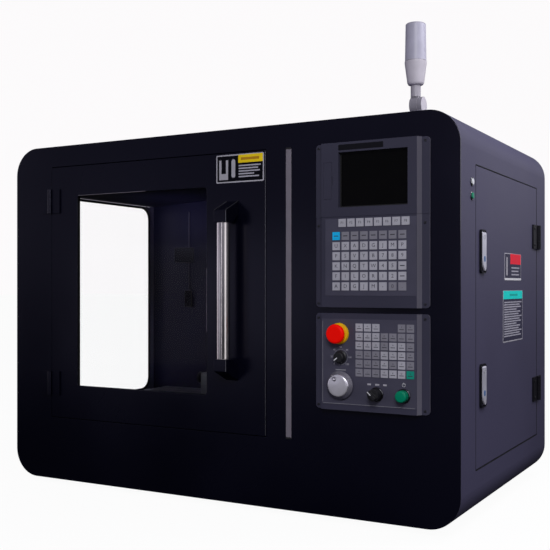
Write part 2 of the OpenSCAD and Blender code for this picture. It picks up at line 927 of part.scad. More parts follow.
module start_button() {
    r = button_d / 2;
    low = 1 + button_travel;
    color("#008a62") on_datum() on_panel(start_x, switch_z, top_film) {
        rotate_extrude() polygon([[0, low], [r, low], [r, start_out - 3], [r - 2, start_out - 1],
            [0, start_out]]);
        translate([0, 0, -24]) cylinder(r = 8, h = 29);
    }
}

// One of the small buttons on the casing's right side
module side_button(z) {
    r = side_button_r;
    on_datum() on_side(side_button_y, z, 0) rotate_extrude() polygon([[0, -22], [r, -22], [r, 3.5],
        [r - 1, 4], [0, 4.3]]);
}

module power_on_button() {
    color("#e6e6e8") side_button(side_button_z[0]);
}

module power_off_button() {
    color("#1f9a68") side_button(side_button_z[1]);
}

// ---- Signal lamp ----

module at_lamp(z) {
    translate([lamp_x, lamp_y, z]) children();
}

// Foot plate with one round ear and the pin of the folding joint
module lamp_base() {
    r = elbow_d / 2;
    ear_x = stem_off + elbow_t / 2 + seam;
    color("#8a8a94") on_datum() {
        at_lamp(case_h) {
            translate([-6, 0, 0]) cylinder(r = r + 12, h = 5);
            block([ear_x, -r + 4, 4], [ear_w, 2 * r - 8, elbow_z - 4]);
            rod_x([ear_x, 0, elbow_z], r, ear_w);
            rod_x([ear_x - elbow_t + 3, 0, elbow_z], 4, elbow_t);
        }
    }
}

// Round half of the folding joint, the stem on it and the tapered lower housing
module lamp_stem() {
    r = elbow_d / 2;
    top = lens_d / 2 + 1.6;
    color("#c6c2cc") on_datum() at_lamp(0) translate([stem_off, 0, 0]) {
        difference() {
            translate([-elbow_t / 2, 0, case_h + elbow_z]) {
                rod_x([0, 0, 0], r, elbow_t);
                block([0, -9, 0], [elbow_t, 18, r + 2]);
            }
            rod_x([2 - elbow_t / 2, 0, case_h + elbow_z], 4 + fit, elbow_t);
        }
        rod_z([0, 0, stem_z], stem_d / 2, socket_z - stem_z + 6);
        translate([0, 0, socket_z]) rotate_extrude() polygon([[0, 3], [13, 1], [top - 8, 3], [top - 6, 7],
            [top, socket_h - 4], [top, socket_h], [0, socket_h]]);
    }
}

module lamp_lens() {
    r = lens_d / 2;
    color("#b4b4c0") on_datum() at_lamp(lens_z) translate([stem_off, 0, 0]) rotate_extrude() polygon([[0, 0],
        [r + 0.8, 0], [r - 0.6, lens_h - 3], [r - 3, lens_h], [0, lens_h]]);
}

// ---- Mill ----

// Cast bed, hollow underneath in front of the column
module machine_bed() {
    x0 = spindle_x - saddle_w / 2;
    rim = 25;
    color("#5d6570") on_datum() {
        difference() {
            block([x0, bed_y, wrap_t], [saddle_w, mill_rear - bed_y, bed_z - wrap_t]);
            block([x0 + rim, bed_y + rim, wrap_t - 1],
                [saddle_w - 2 * rim, column_y - bed_y - 2 * rim, bed_z - wrap_t - rim]);
        }
        for (y = [bed_y, column_y - bearing_t - 2]) screw_bearing_y(y);
    }
}

// Bearing block for the screw that moves the saddle
module screw_bearing_y(y) {
    difference() {
        block([spindle_x - 22, y, bed_z - 1], [44, bearing_t, way - 1]);
        rod_y([spindle_x, y - 1, y_screw_z], screw_r + fit, bearing_t + 2);
    }
}

// Box column, open to the rear, with the bearing blocks of the head's screw
module column() {
    wall = 18;
    x0 = spindle_x - column_w / 2;
    d = mill_rear - column_y;
    h = column_top - bed_z;
    color("#5d6570") on_datum() {
        difference() {
            block([x0, column_y, bed_z], [column_w, d, h]);
            block([x0 + wall, column_y + wall, bed_z + 2 * wall], [column_w - 2 * wall, d, h - 3 * wall]);
        }
        for (z = [nose_z - 70, column_top - bearing_t]) difference() {
            block([spindle_x - 20, column_y - way, z], [40, way + 1, bearing_t]);
            rod_z([spindle_x, z_screw_y, z - 1], screw_r + fit, bearing_t + 2);
        }
    }
}

// Rails on the bed for the saddle and on the column for the head
module guide_rails() {
    x0 = spindle_x - rail_w / 2;
    color("#b9bcc2") on_datum() {
        for (x = [-y_rail_x, y_rail_x])
            block([x0 + x, bed_y + 20, bed_z], [rail_w, column_y - bed_y - 25, rail_h]);
        for (x = [-z_rail_x, z_rail_x])
            block([x0 + x, column_y - rail_h, nose_z - 60], [rail_w, rail_h, column_top - nose_z + 50]);
    }
}

// Square motor with a narrower rear cap, its flange on z = 0
module motor() {
    cap = motor_w - 8;
    body_len = 45;
    block([-motor_w / 2, -motor_w / 2, 0], [motor_w, motor_w, body_len]);
    block([-cap / 2, -cap / 2, body_len], [cap, cap, motor_len - body_len]);
}

module axis_motors() {
    color("#22242a") on_datum() {
        translate([spindle_x, bed_y, y_screw_z]) rotate([90, 0, 0]) motor();
        translate([spindle_x, z_screw_y, column_top]) motor();
    }
}

// Saddle: shoes and a nut under it run on the bed, grooved shoes and a nut on it carry the table

module saddle() {
    x0 = spindle_x - saddle_w / 2;
    y0 = spindle_y - saddle_d / 2;
    top = saddle_z + saddle_t;
    groove_w = rail_w + 2 * run_gap;
    color("#5d6570") on_datum() {
        block([x0, y0, saddle_z], [saddle_w, saddle_d, saddle_t]);
        for (x = [-y_rail_x, y_rail_x]) difference() {
            block([spindle_x + x - shoe_w / 2, y0, bed_z + shoe_gap], [shoe_w, saddle_d, way]);
            block([spindle_x + x - groove_w / 2, y0 - 1, bed_z], [groove_w, saddle_d + 2, rail_h + run_gap]);
        }
        difference() {
            block([spindle_x - nut_w / 2, y0 + 30, bed_z + shoe_gap], [nut_w, nut_len, way]);
            rod_y([spindle_x, y0, y_screw_z], screw_r + fit, saddle_d);
        }
        for (y = [-x_rail_y, x_rail_y]) difference() {
            block([x0, spindle_y + y - shoe_w / 2, top - 1], [saddle_w, shoe_w, way + 1 - shoe_gap]);
            block([x0 - 1, spindle_y + y - groove_w / 2, top + way - rail_h - run_gap],
                [saddle_w + 2, groove_w, rail_h]);
        }
        difference() {
            block([spindle_x - nut_len / 2, spindle_y - nut_w / 2, top - 1],
                [nut_len, nut_w, way + 1 - shoe_gap]);
            rod_x([spindle_x - nut_len, spindle_y, x_screw_z], screw_r + fit, 2 * nut_len);
        }
    }
}

// Slotted table with a lug under each end for its screw
module table() {
    low = table_z - table_t;
    color("#8f959d") on_datum() {
        difference() {
            block([table_x, table_y, low], [table_len, table_d, table_t]);
            for (i = [-1:1]) table_slot(spindle_y + i * table_d * 0.29);
        }
        for (x = [table_x, table_x + table_len - bearing_t]) difference() {
            block([x, spindle_y - 22, low - way + shoe_gap], [bearing_t, 44, way]);
            rod_x([x - 1, spindle_y, x_screw_z], screw_r + fit, bearing_t + 2);
        }
    }
}

// T-shaped slot along the table
module table_slot(y) {
    neck = 11;
    foot = 8;
    block([table_x - 1, y - slot_w / 2, table_z - neck], [table_len + 2, slot_w, neck + 1]);
    block([table_x - 1, y - slot_w, table_z - neck - foot], [table_len + 2, 2 * slot_w, foot]);
}

module table_rails() {
    low = table_z - table_t - rail_h;
    color("#b9bcc2") on_datum() for (y = [-x_rail_y, x_rail_y])
        block([table_x + 5, spindle_y + y - rail_w / 2, low], [table_len - 10, rail_w, rail_h]);
}

module table_motor() {
    color("#22242a") on_datum() translate([table_x, spindle_y, x_screw_z]) rotate([0, -90, 0]) motor();
}

module head_casting() {
    back_y = column_y - way;
    groove_w = rail_w + 2 * run_gap;
    color("#e2e4e8") on_datum() {
        difference() {
            block([spindle_x - head_w / 2, head_y, head_z], [head_w, back_y - head_y, head_h]);
            rod_z([spindle_x, spindle_y, head_z - 1], spindle_r + fit, head_h + 2);
        }
        for (x = [-z_rail_x, z_rail_x]) difference() {
            block([spindle_x + x - shoe_w / 2, back_y - 1, head_z], [shoe_w, way + 1 - shoe_gap, head_h]);
            block([spindle_x + x - groove_w / 2, column_y - rail_h - run_gap, head_z - 1],
                [groove_w, rail_h, head_h + 2]);
        }
        difference() {
            block([spindle_x - nut_w / 2, back_y - 1, head_z + 40], [nut_w, way + 1 - shoe_gap, nut_len]);
            rod_z([spindle_x, z_screw_y, head_z], screw_r + fit, head_h);
        }
    }
}

// Turned spindle with a collet nut at its nose
module spindle() {
    color("#c4c7cc") on_datum() difference() {
        union() {
            rod_z([spindle_x, spindle_y, head_z - 4], spindle_r, head_h + 3);
            rod_z([spindle_x, spindle_y, nose_z + 12], spindle_r - 7, head_z - nose_z - 12);
            rod_z([spindle_x, spindle_y, nose_z], spindle_r - 1, 14);
        }
        rod_z([spindle_x, spindle_y, nose_z - 1], collet_r, collet_depth + 1);
    }
}

module spindle_motor() {
    w = head_w - 22;
    body_h = 68;
    color("#22242a") on_datum() translate([spindle_x, spindle_y, head_z + head_h]) {
        block([-w / 2, -w / 2, 0], [w, w, body_h]);
        cylinder(r = w / 2 - 4, h = body_h + 16);
    }
}

module x_screw() {
    color("#b9bcc2") on_datum() rod_x([table_x + 1, spindle_y, x_screw_z], screw_r, table_len - 2);
}

module y_screw() {
    color("#b9bcc2") on_datum() rod_y([spindle_x, bed_y + 1, y_screw_z], screw_r, column_y - bed_y - 4);
}

module z_screw() {
    low = nose_z - 68;
    color("#b9bcc2") on_datum() rod_z([spindle_x, z_screw_y, low], screw_r, column_top - low - 1);
}

// ---- Vise ----

// Vise base with its fixed jaw on the right and the nut of its screw on the left
module vise_body() {
    wall = 20;
    jaw = 40;
    y0 = spindle_y - vise_w / 2;
    color("#a9adb4") on_datum() {
        block([vise_x, y0, table_z], [vise_len, vise_w, vise_base]);
        block([vise_x + vise_len - jaw, y0, table_z], [jaw, vise_w, vise_h]);
        difference() {
            block([vise_x, y0, table_z], [wall, vise_w, vise_h]);
            rod_x([vise_x - 1, spindle_y, vise_screw_z], vise_screw_r + fit, wall + 2);
        }
    }
}

// Sliding jaw, a little over the base, with the blind bore that its screw turns in
module vise_jaw() {
    low = vise_base + fit;
    color("#9599a1") on_datum() difference() {
        block([vise_jaw_x, spindle_y - vise_w / 2, table_z + low], [38, vise_w, vise_h - low]);
        rod_x([vise_jaw_x - 1, spindle_y, vise_screw_z], vise_screw_r + fit, 21);
    }
}

// Vise screw with a broad round end for its handle
module vise_screw() {
    color("#3b3d42") on_datum() {
        rod_x([vise_x - 24, spindle_y, vise_screw_z], vise_screw_r, vise_jaw_x - vise_x + 24 + 19);
        rod_x([vise_x - 30, spindle_y, vise_screw_z], 16, 8);
    }
}

// ---- Cabinet ----

module cabinet_plate() {
    color("#c8ccd0") on_datum() {
        block([plate_x, plate_y, plate_z], [plate_w, 3, plate_h]);
        for (x = [plate_x + 20, plate_x + plate_w - 20], z = [plate_z + 20, plate_z + plate_h - 20])
            rod_y([x, plate_y + 1, z], 6, case_d - rear_t - plate_y - 1);
    }
}

module servo_drives() {
    pitch = (plate_w - 20 - drive_w) / 3;
    z0 = plate_z + plate_h - 30 - drive_h;
    color("#2a2c33") on_datum() for (i = [0:3])
        block([plate_x + 10 + i * pitch, plate_y - drive_d, z0], [drive_w, drive_d, drive_h]);
}

// Fan housing and cable gland, both on the rear panel
module rear_fittings() {
    color("#2a2a2e") on_datum() {
        fan_housing();
        cable_gland();
    }
}

// Gland with a flange outside the panel and a nut inside it
module cable_gland() {
    y = case_d - rear_t;
    difference() {
        union() {
            rod_y([entry_x, y - 7, entry_z], gland_r, rear_t + 8);
            rod_y([entry_x, case_d, entry_z], gland_r + 4, rear_reach);
            rod_y([entry_x, y - 6, entry_z], gland_r + 4, 6);
        }
        rod_y([entry_x, y - 8, entry_z], entry_r, rear_t + rear_reach + 10);
    }
}

module fan_housing() {
    y = case_d - rear_t - fan_t;
    difference() {
        block([fan_x - fan_w / 2, y, fan_z - fan_w / 2], [fan_w, fan_t, fan_w]);
        rod_y([fan_x, y - 1, fan_z], fan_r, fan_t + 2);
    }
    for (a = [0:90:270]) translate([fan_x, y, fan_z]) rotate([0, a + 45, 0])
        block([-3, 1, 12], [6, 3, fan_r - 8]);
    rod_y([fan_x, y + 0.5, fan_z], 20, 4);
    rod_y([fan_x, y + 3, fan_z], 3, fan_t - 8);
}

module fan_rotor() {
    color("#2c2c30") on_datum() translate([fan_x, case_d - rear_t - fan_t + 6, fan_z]) rotate([-90, 0, 0]) {
        difference() {
            cylinder(r = 20, h = fan_t - 10);
            translate([0, 0, -1]) cylinder(r = 3 + fit, h = fan_t);
        }
        for (i = [0:6]) rotate(i * 360 / 7) translate([18, 0, 2]) rotate([35, 0, 0])
            block([0, -1, 0], [fan_r - 20, 2, fan_t - 18]);
    }
}

left_wrap();
right_wrap();
front_panel();
rear_panel();
levelling_feet();
partition_wall();
chamber_liner();
chip_pan();
side_window_pane();
light_strip();
hinge_fixed_leaves();
display_bezel();
display_screen();
keyboard_bezel();
operator_bezel();
keypads();
estop_collar();
control_bezels();
lamp_base();
machine_bed();
column();
guide_rails();
axis_motors();
cabinet_plate();
servo_drives();
rear_fittings();
front_door_panel();
door_window_pane();
door_window_seal();
handle_tube();
handle_brackets();
front_hinge_moving_leaves();
side_door_panel();
side_door_fittings();
upper_latch_lever();
lower_latch_lever();
estop_head();
override_knob();
handwheel();
selector_knob();
start_button();
power_on_button();
power_off_button();
fan_rotor();
lamp_stem();
lamp_lens();
saddle();
table();
table_rails();
table_motor();
head_casting();
spindle();
spindle_motor();
x_screw();
y_screw();
z_screw();
vise_body();
vise_jaw();
vise_screw();
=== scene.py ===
# %% [markdown]
# # A desktop milling machine in a closed casing
# The working model of the machine comes in as a fixed frame: every panel, door, knob and slide is already
# there at its true size. This lesson gives each surface its finish, adds the small pieces that the working
# model leaves out, and sets up a plain studio round it. We load the frame first and note its outer box.

# %% Load the frame
import math

import bpy
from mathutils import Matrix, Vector


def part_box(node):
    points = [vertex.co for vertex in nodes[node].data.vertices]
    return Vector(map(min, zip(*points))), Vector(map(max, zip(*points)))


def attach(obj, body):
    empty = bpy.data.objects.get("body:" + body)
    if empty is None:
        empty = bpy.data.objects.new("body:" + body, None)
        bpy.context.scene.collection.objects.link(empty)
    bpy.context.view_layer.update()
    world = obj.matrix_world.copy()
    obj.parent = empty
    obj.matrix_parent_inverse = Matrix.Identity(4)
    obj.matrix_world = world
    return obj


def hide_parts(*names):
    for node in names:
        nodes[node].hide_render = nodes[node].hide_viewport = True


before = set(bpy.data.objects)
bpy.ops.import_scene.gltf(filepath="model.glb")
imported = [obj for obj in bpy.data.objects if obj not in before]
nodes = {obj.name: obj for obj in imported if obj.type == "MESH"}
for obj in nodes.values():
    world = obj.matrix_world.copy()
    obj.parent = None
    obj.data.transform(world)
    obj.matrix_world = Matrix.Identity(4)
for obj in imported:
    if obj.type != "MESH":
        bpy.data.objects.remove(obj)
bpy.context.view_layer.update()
MM = 0.001

# %% [markdown]
# ## Studio
# A product of this kind is shown on a white sweep, under large soft lights. We could model a curved
# backdrop, but a wide floor that meets a white world does the same and never shows an edge. Floor and world
# show their white only to the camera and to a straight look through glass. So the machine's soft shadow
# stays, no extra light falls on the machine, and the near-black front doesn't mirror a white room.

# %% Who sees the white
def maths(tree, operation, first, second):
    """Works out one sum of two values, each a number or a socket."""
    node = tree.nodes.new("ShaderNodeMath")
    node.operation = operation
    for socket, value in zip(node.inputs, (first, second)):
        if isinstance(value, (int, float)):
            socket.default_value = value
        else:
            tree.links.new(value, socket)
    return node.outputs[0]


def only_seen_directly(tree):
    """A mask that is 1 for camera rays and straight looks through glass, and 0 for light and reflections."""
    path = tree.nodes.new("ShaderNodeLightPath").outputs
    bounces = maths(tree, "ADD", path["Diffuse Depth"], path["Glossy Depth"])
    unbounced = maths(tree, "LESS_THAN", bounces, 0.5)
    through_glass = maths(tree, "MULTIPLY", unbounced, path["Is Transmission Ray"])
    return maths(tree, "MAXIMUM", path["Is Camera Ray"], through_glass)


# %% World
SKY_LIGHT = (0.78, 0.76, 1.0, 1)
SKY_LEVEL = 0.2
SHOWN_WHITE = (0.975, 0.96, 0.97, 1)


def build_world():
    world = bpy.data.worlds.new("white_studio")
    bpy.context.scene.world = world
    world.use_nodes = True
    tree = world.node_tree
    lit = tree.nodes["Background"]
    lit.inputs["Color"].default_value = SKY_LIGHT
    lit.inputs["Strength"].default_value = SKY_LEVEL
    shown = tree.nodes.new("ShaderNodeBackground")
    shown.inputs["Color"].default_value = SHOWN_WHITE
    mix = tree.nodes.new("ShaderNodeMixShader")
    tree.links.new(only_seen_directly(tree), mix.inputs[0])
    tree.links.new(lit.outputs[0], mix.inputs[1])
    tree.links.new(shown.outputs[0], mix.inputs[2])
    tree.links.new(mix.outputs[0], tree.nodes["World Output"].inputs["Surface"])
    print("world:", world.name, "at light level", SKY_LEVEL)


build_world()

# %% Floor
FLOOR_WIDTH = 80
FLOOR_PLACE = (0, 0, -0.5 * MM)
FLOOR_GREY = (0.05, 0.05, 0.05, 1)
FLOOR_GLOW = 0.955


def emission(tree, strength):
    glow = tree.nodes.new("ShaderNodeEmission")
    glow.inputs["Strength"].default_value = strength
    return glow.outputs[0]


def build_floor_paper():
    paper = bpy.data.materials.new("floor_paper")
    paper.use_nodes = True
    tree = paper.node_tree
    shader = tree.nodes["Principled BSDF"]
    shader.inputs["Base Color"].default_value = FLOOR_GREY
    shader.inputs["Roughness"].default_value = 1
    shader.inputs["Specular IOR Level"].default_value = 0
    pick = tree.nodes.new("ShaderNodeMixShader")
    total = tree.nodes.new("ShaderNodeAddShader")
    tree.links.new(only_seen_directly(tree), pick.inputs[0])
    tree.links.new(emission(tree, 0), pick.inputs[1])
    tree.links.new(emission(tree, FLOOR_GLOW), pick.inputs[2])
    tree.links.new(shader.outputs[0], total.inputs[0])
    tree.links.new(pick.outputs[0], total.inputs[1])
    tree.links.new(total.outputs[0], tree.nodes["Material Output"].inputs["Surface"])
    return paper


bpy.ops.object.select_all(action="DESELECT")
bpy.ops.mesh.primitive_plane_add(size=FLOOR_WIDTH, location=FLOOR_PLACE)
bpy.ops.object.transform_apply(location=True, rotation=True, scale=True)
floor = bpy.context.object
floor.name = "studio_floor"
floor.data.materials.append(build_floor_paper())
print("floor:", FLOOR_WIDTH, "m wide")

# %% [markdown]
# ## Camera and lamps
# The camera stands to the front and right of the machine, level with its middle, with a longer lens than a
# snapshot would use. Its shift keeps the upright edges parallel while the horizon sits a little low in the
# frame. One lamp could light it all, but then the black front and the tube would have nothing to mirror. So
# a strong box stands high at the front right, with weaker ones at the right, the rear right and the far
# left, which the tube mirrors as bright stripes. A small lamp close above the right side lets it grow
# darker towards its foot. A low panel and an upright strip show as soft streaks in the front, and a faint
# lamp in the chamber lifts its rear wall.

# %% Camera
def build_camera(place, heading, lens, shift_y):
    """A level camera. Its heading is in degrees, turned left from looking along +Y."""
    data = bpy.data.cameras.new("view_camera")
    data.lens = lens
    data.shift_y = shift_y
    camera = bpy.data.objects.new("view_camera", data)
    bpy.context.scene.collection.objects.link(camera)
    camera.location = place
    camera.rotation_euler = (math.radians(90), 0, math.radians(heading))
    bpy.context.scene.camera = camera
    print("camera at", place, "with a lens of", lens, "mm")


build_camera(place=(1.15505, -2.0923, 0.5078), heading=29.28, lens=59.44, shift_y=0.0205)
bpy.context.scene.view_settings.view_transform = "Standard"

# %% Lamps
WIDE_OPEN = 180


def build_lamp(name, place, target, size, watts, colour, spread=WIDE_OPEN):
    """A soft box of a width and height in metres that looks at its target, with its spread in degrees."""
    data = bpy.data.lights.new(name, "AREA")
    data.shape = "RECTANGLE"
    data.size, data.size_y = size
    data.energy = watts
    data.color = colour
    data.spread = math.radians(spread)
    lamp = bpy.data.objects.new(name, data)
    bpy.context.scene.collection.objects.link(lamp)
    lamp.location = place
    lamp.rotation_euler = (Vector(target) - Vector(place)).to_track_quat("-Z", "Y").to_euler()


build_lamp("front_right_box", (1.7, -3.4, 2.3), (0.2, -0.3, 0.5), (1.4, 1.2), 70, (0.96, 0.96, 1.0))
build_lamp("right_box", (2.1, -1.15, 0.95), (0.6, -0.2, 0.6), (1.1, 1.8), 6.5, (0.97, 0.95, 1.0))
build_lamp("high_right_lamp", (1.15, 0.05, 1.5), (0.6, 0, 0.75), (0.5, 0.6), 8, (0.95, 0.95, 1.0))
build_lamp("rear_right_box", (2.6, 3.2, 1.7), (0.6, 0, 0.6), (2.2, 1.8), 14, (0.96, 0.95, 1.0))
build_lamp("left_box", (-3.6, -1.1, 0.6), (0, -0.3, 0.45), (2.4, 1.6), 8, (0.92, 0.85, 1.0))
build_lamp("front_left_panel", (-1.7, -3.1, 0.4), (0, -0.34, 0.45), (1.6, 0.7), 1.6, (0.85, 0.85, 1.0))
build_lamp("front_strip", (0.18, -3.9, 0.6), (0.06, -0.38, 0.5), (0.45, 1.6), 2.7, (0.90, 0.87, 0.98))
build_lamp("chamber_glow", (-0.3, -0.19, 0.656), (-0.455, 0.195, 0.741), (0.2, 0.1), 0.11,
           (0.85, 0.82, 1.0), spread=50)
print("lamps:", [lamp.name for lamp in bpy.data.lights])

# %% [markdown]
# ## Shared surface effects
# Four effects turn up on many finishes, so each is a node group with its own inputs: the fine grain of a
# sprayed coat, the straight lines of brushed or ground metal, dust that settles on faces that look up, and
# a slow drift of tone that keeps a large surface from looking dead. They all read Object coordinates, and
# every piece sits at the origin, so a pattern keeps its true scale in metres on every piece.

# %% Node group helpers
def new_group(name, inputs, outputs):
    """A new node group with its sockets, and the two nodes that stand for them inside it."""
    group = bpy.data.node_groups.new(name, "ShaderNodeTree")
    for label, value in inputs:
        socket = group.interface.new_socket(label, in_out="INPUT", socket_type="NodeSocketFloat")
        socket.default_value = value
    for label in outputs:
        group.interface.new_socket(label, in_out="OUTPUT", socket_type="NodeSocketFloat")
    return group, group.nodes.new("NodeGroupInput"), group.nodes.new("NodeGroupOutput")


def object_place(tree):
    """The place of a point in its object's own coordinates, in metres."""
    return tree.nodes.new("ShaderNodeTexCoord").outputs["Object"]


def noise(tree, vector, scale, detail=2.0, rough=0.5):
    node = tree.nodes.new("ShaderNodeTexNoise")
    tree.links.new(vector, node.inputs["Vector"])
    if isinstance(scale, (int, float)):
        node.inputs["Scale"].default_value = scale
    else:
        tree.links.new(scale, node.inputs["Scale"])
    node.inputs["Detail"].default_value = detail
    node.inputs["Roughness"].default_value = rough
    return node.outputs["Fac"]


def spread(tree, value, low, high):
    """Stretches the part of a value from low to high over 0 to 1."""
    node = tree.nodes.new("ShaderNodeMapRange")
    node.interpolation_type = "SMOOTHSTEP"
    tree.links.new(value, node.inputs["Value"])
    node.inputs["From Min"].default_value = low
    node.inputs["From Max"].default_value = high
    return node.outputs["Result"]


# %% Coat grain: the skin of a sprayed or powder coat
def build_coat_grain():
    group, given, made = new_group("coat_grain", [("Grain Scale", 700.0)], ["Height", "Fleck"])
    where = object_place(group)
    peel = noise(group, where, given.outputs["Grain Scale"], detail=3.0, rough=0.6)
    fleck = noise(group, where, scale=2400.0, detail=1.0)
    group.links.new(peel, made.inputs["Height"])
    group.links.new(spread(group, fleck, low=0.42, high=0.6), made.inputs["Fleck"])
    print("effect:", group.name)
    return group


coat_grain = build_coat_grain()


# %% Brushed lines: long scratches along one axis
def build_brushed_lines():
    inputs = [("Along X", 1.0), ("Along Y", 1.0), ("Along Z", 1.0)]
    group, given, made = new_group("brushed_lines", inputs, ["Height", "Streak"])
    where = object_place(group)
    join = group.nodes.new("ShaderNodeCombineXYZ")
    for label, socket in zip(("Along X", "Along Y", "Along Z"), join.inputs):
        group.links.new(given.outputs[label], socket)
    stretch = group.nodes.new("ShaderNodeVectorMath")
    stretch.operation = "MULTIPLY"
    group.links.new(where, stretch.inputs[0])
    group.links.new(join.outputs[0], stretch.inputs[1])
    fine = noise(group, stretch.outputs[0], scale=1500.0)
    broad = noise(group, stretch.outputs[0], scale=300.0)
    both = maths(group, "ADD", fine, broad)
    group.links.new(fine, made.inputs["Height"])
    group.links.new(spread(group, both, low=0.75, high=1.25), made.inputs["Streak"])
    print("effect:", group.name)
    return group


brushed_lines = build_brushed_lines()


# %% Settled dust: a pale veil on faces that look up
def build_settled_dust():
    group, given, made = new_group("settled_dust", [("Amount", 0.1)], ["Veil"])
    where = object_place(group)
    facing = group.nodes.new("ShaderNodeNewGeometry")
    split = group.nodes.new("ShaderNodeSeparateXYZ")
    group.links.new(facing.outputs["Normal"], split.inputs[0])
    upward = spread(group, split.outputs["Z"], low=0.4, high=1.0)
    patchy = spread(group, noise(group, where, scale=14.0, detail=4.0), low=0.3, high=0.8)
    veil = maths(group, "MULTIPLY", upward, patchy)
    group.links.new(maths(group, "MULTIPLY", veil, given.outputs["Amount"]), made.inputs["Veil"])
    print("effect:", group.name)
    return group


settled_dust = build_settled_dust()


# %% Tone drift: slow changes over a large surface
def build_tone_drift():
    group, given, made = new_group("tone_drift", [("Drift Scale", 3.0)], ["Drift"])
    where = object_place(group)
    drift = noise(group, where, given.outputs["Drift Scale"], detail=3.0)
    group.links.new(spread(group, drift, low=0.3, high=0.7), made.inputs["Drift"])
    print("effect:", group.name)
    return group


tone_drift = build_tone_drift()

# %% [markdown]
# ## Finishes
# The machine shows a handful of finishes: a smooth near-black coat on the front, a grey-blue powder coat on
# the wrap and side door, a textured coat on the control units, moulded plastics, rubber, polished and
# ground steel, painted castings, and clear panes. A finish could be one flat colour, but then every surface
# looks like the same plastic. Each of ours mixes two close tones, varies its roughness and lifts a fine
# grain by bump, all from the shared effects. Values that are the same all over go straight onto the shader.

# %% Material helpers
def new_material(name, **settings):
    """A principled material. Keyword names are the shader's own socket names, with _ for a space."""
    material = bpy.data.materials.new(name)
    material.use_nodes = True
    shader = material.node_tree.nodes["Principled BSDF"]
    for label, value in settings.items():
        shader.inputs[label.replace("_", " ")].default_value = value
    return material, material.node_tree, shader


def use(tree, group, **values):
    """Places a shared effect in a material, with its own values."""
    node = tree.nodes.new("ShaderNodeGroup")
    node.node_tree = group
    for label, value in values.items():
        node.inputs[label.replace("_", " ")].default_value = value
    return node


def two_tones(tree, mask, first, second):
    """Mixes two colours, or a colour and an earlier mix, by a mask."""
    mix = tree.nodes.new("ShaderNodeMix")
    mix.data_type = "RGBA"
    tree.links.new(mask, mix.inputs["Factor"])
    for socket, colour in zip((mix.inputs["A"], mix.inputs["B"]), (first, second)):
        if isinstance(colour, tuple):
            socket.default_value = (*colour, 1)
        else:
            tree.links.new(colour, socket)
    return mix.outputs["Result"]


def raise_bump(tree, height, shader, depth):
    """Lifts the surface by a height from 0 to 1, up to a depth in metres."""
    bump = tree.nodes.new("ShaderNodeBump")
    bump.inputs["Distance"].default_value = depth
    tree.links.new(height, bump.inputs["Height"])
    tree.links.new(bump.outputs["Normal"], shader.inputs["Normal"])


def scaled(colour, factor):
    return tuple(channel * factor for channel in colour)


def roughen(tree, mask, shader, low, high):
    """Lets the roughness run from low to high where a mask runs from 0 to 1."""
    span = tree.nodes.new("ShaderNodeMapRange")
    tree.links.new(mask, span.inputs["Value"])
    span.inputs["To Min"].default_value = low
    span.inputs["To Max"].default_value = high
    tree.links.new(span.outputs["Result"], shader.inputs["Roughness"])


# %% Sprayed and powder coats
DUST_GREY = (0.35, 0.35, 0.36)
COARSE_GRAIN = 600
DRIFT, FLECK_LIFT = 0.12, 1.25


def coat(name, colour, rough, gloss, grain=700.0, depth=0.02 * MM, dust=0.0, **settings):
    """A coat of paint: its tone drifts a little, its skin has a grain, and dust lies where it looks up."""
    material, tree, shader = new_material(name, Specular_IOR_Level=gloss, **settings)
    skin = use(tree, coat_grain, Grain_Scale=grain)
    slow = use(tree, tone_drift, Drift_Scale=2.5)
    tone = two_tones(tree, slow.outputs["Drift"], scaled(colour, 1 - DRIFT), scaled(colour, 1 + DRIFT))
    if grain < COARSE_GRAIN:
        tone = two_tones(tree, skin.outputs["Fleck"], tone, scaled(colour, FLECK_LIFT))
    if dust:
        veil = use(tree, settled_dust, Amount=dust)
        tone = two_tones(tree, veil.outputs["Veil"], tone, DUST_GREY)
    tree.links.new(tone, shader.inputs["Base Color"])
    roughen(tree, slow.outputs["Drift"], shader, low=rough - 0.04, high=rough + 0.05)
    raise_bump(tree, skin.outputs["Height"], shader, depth)
    return material


front_enamel = coat("front_enamel", (0.0006, 0.0007, 0.0045), 0.24, 0.38, depth=0.003 * MM,
                    Specular_Tint=(0.80, 0.78, 1.0, 1))
side_powder = coat("side_powder", (0.056, 0.052, 0.098), 0.55, 0.3, grain=520.0, depth=0.03 * MM, dust=0.06)
panel_texture = coat("panel_texture", (0.036, 0.035, 0.060), 0.6, 0.3, grain=900.0, depth=0.06 * MM)
# A lighter coat that paints a highlight on the right slopes of the bezels.
painted_highlight_coat = coat("painted_highlight_coat", (0.12, 0.115, 0.145), 0.4, 0.4, grain=900.0, depth=0.03 * MM)
liner_coat = coat("liner_coat", (0.0072, 0.0070, 0.024), 0.5, 0.1, Specular_Tint=(0.5, 0.52, 1.0, 1))
fitting_coat = coat("fitting_coat", (0.0036, 0.0036, 0.012), 0.5, 0.1)
cabinet_white = coat("cabinet_white", (0.62, 0.63, 0.65), 0.45, 0.4, depth=0.02 * MM, dust=0.1)
black_bracket = coat("black_bracket", (0.004, 0.004, 0.007), 0.5, 0.15, grain=900.0, depth=0.02 * MM)
motor_black = coat("motor_black", (0.012, 0.012, 0.014), 0.45, 0.4, grain=1200.0, depth=0.03 * MM, dust=0.12)
head_enamel = coat("head_enamel", (0.62, 0.63, 0.64), 0.32, 0.5, depth=0.03 * MM, dust=0.08)
cast_enamel = coat("cast_enamel", (0.075, 0.09, 0.105), 0.45, 0.45, grain=300.0, depth=0.12 * MM, dust=0.1)
print("materials so far:", len(bpy.data.materials))


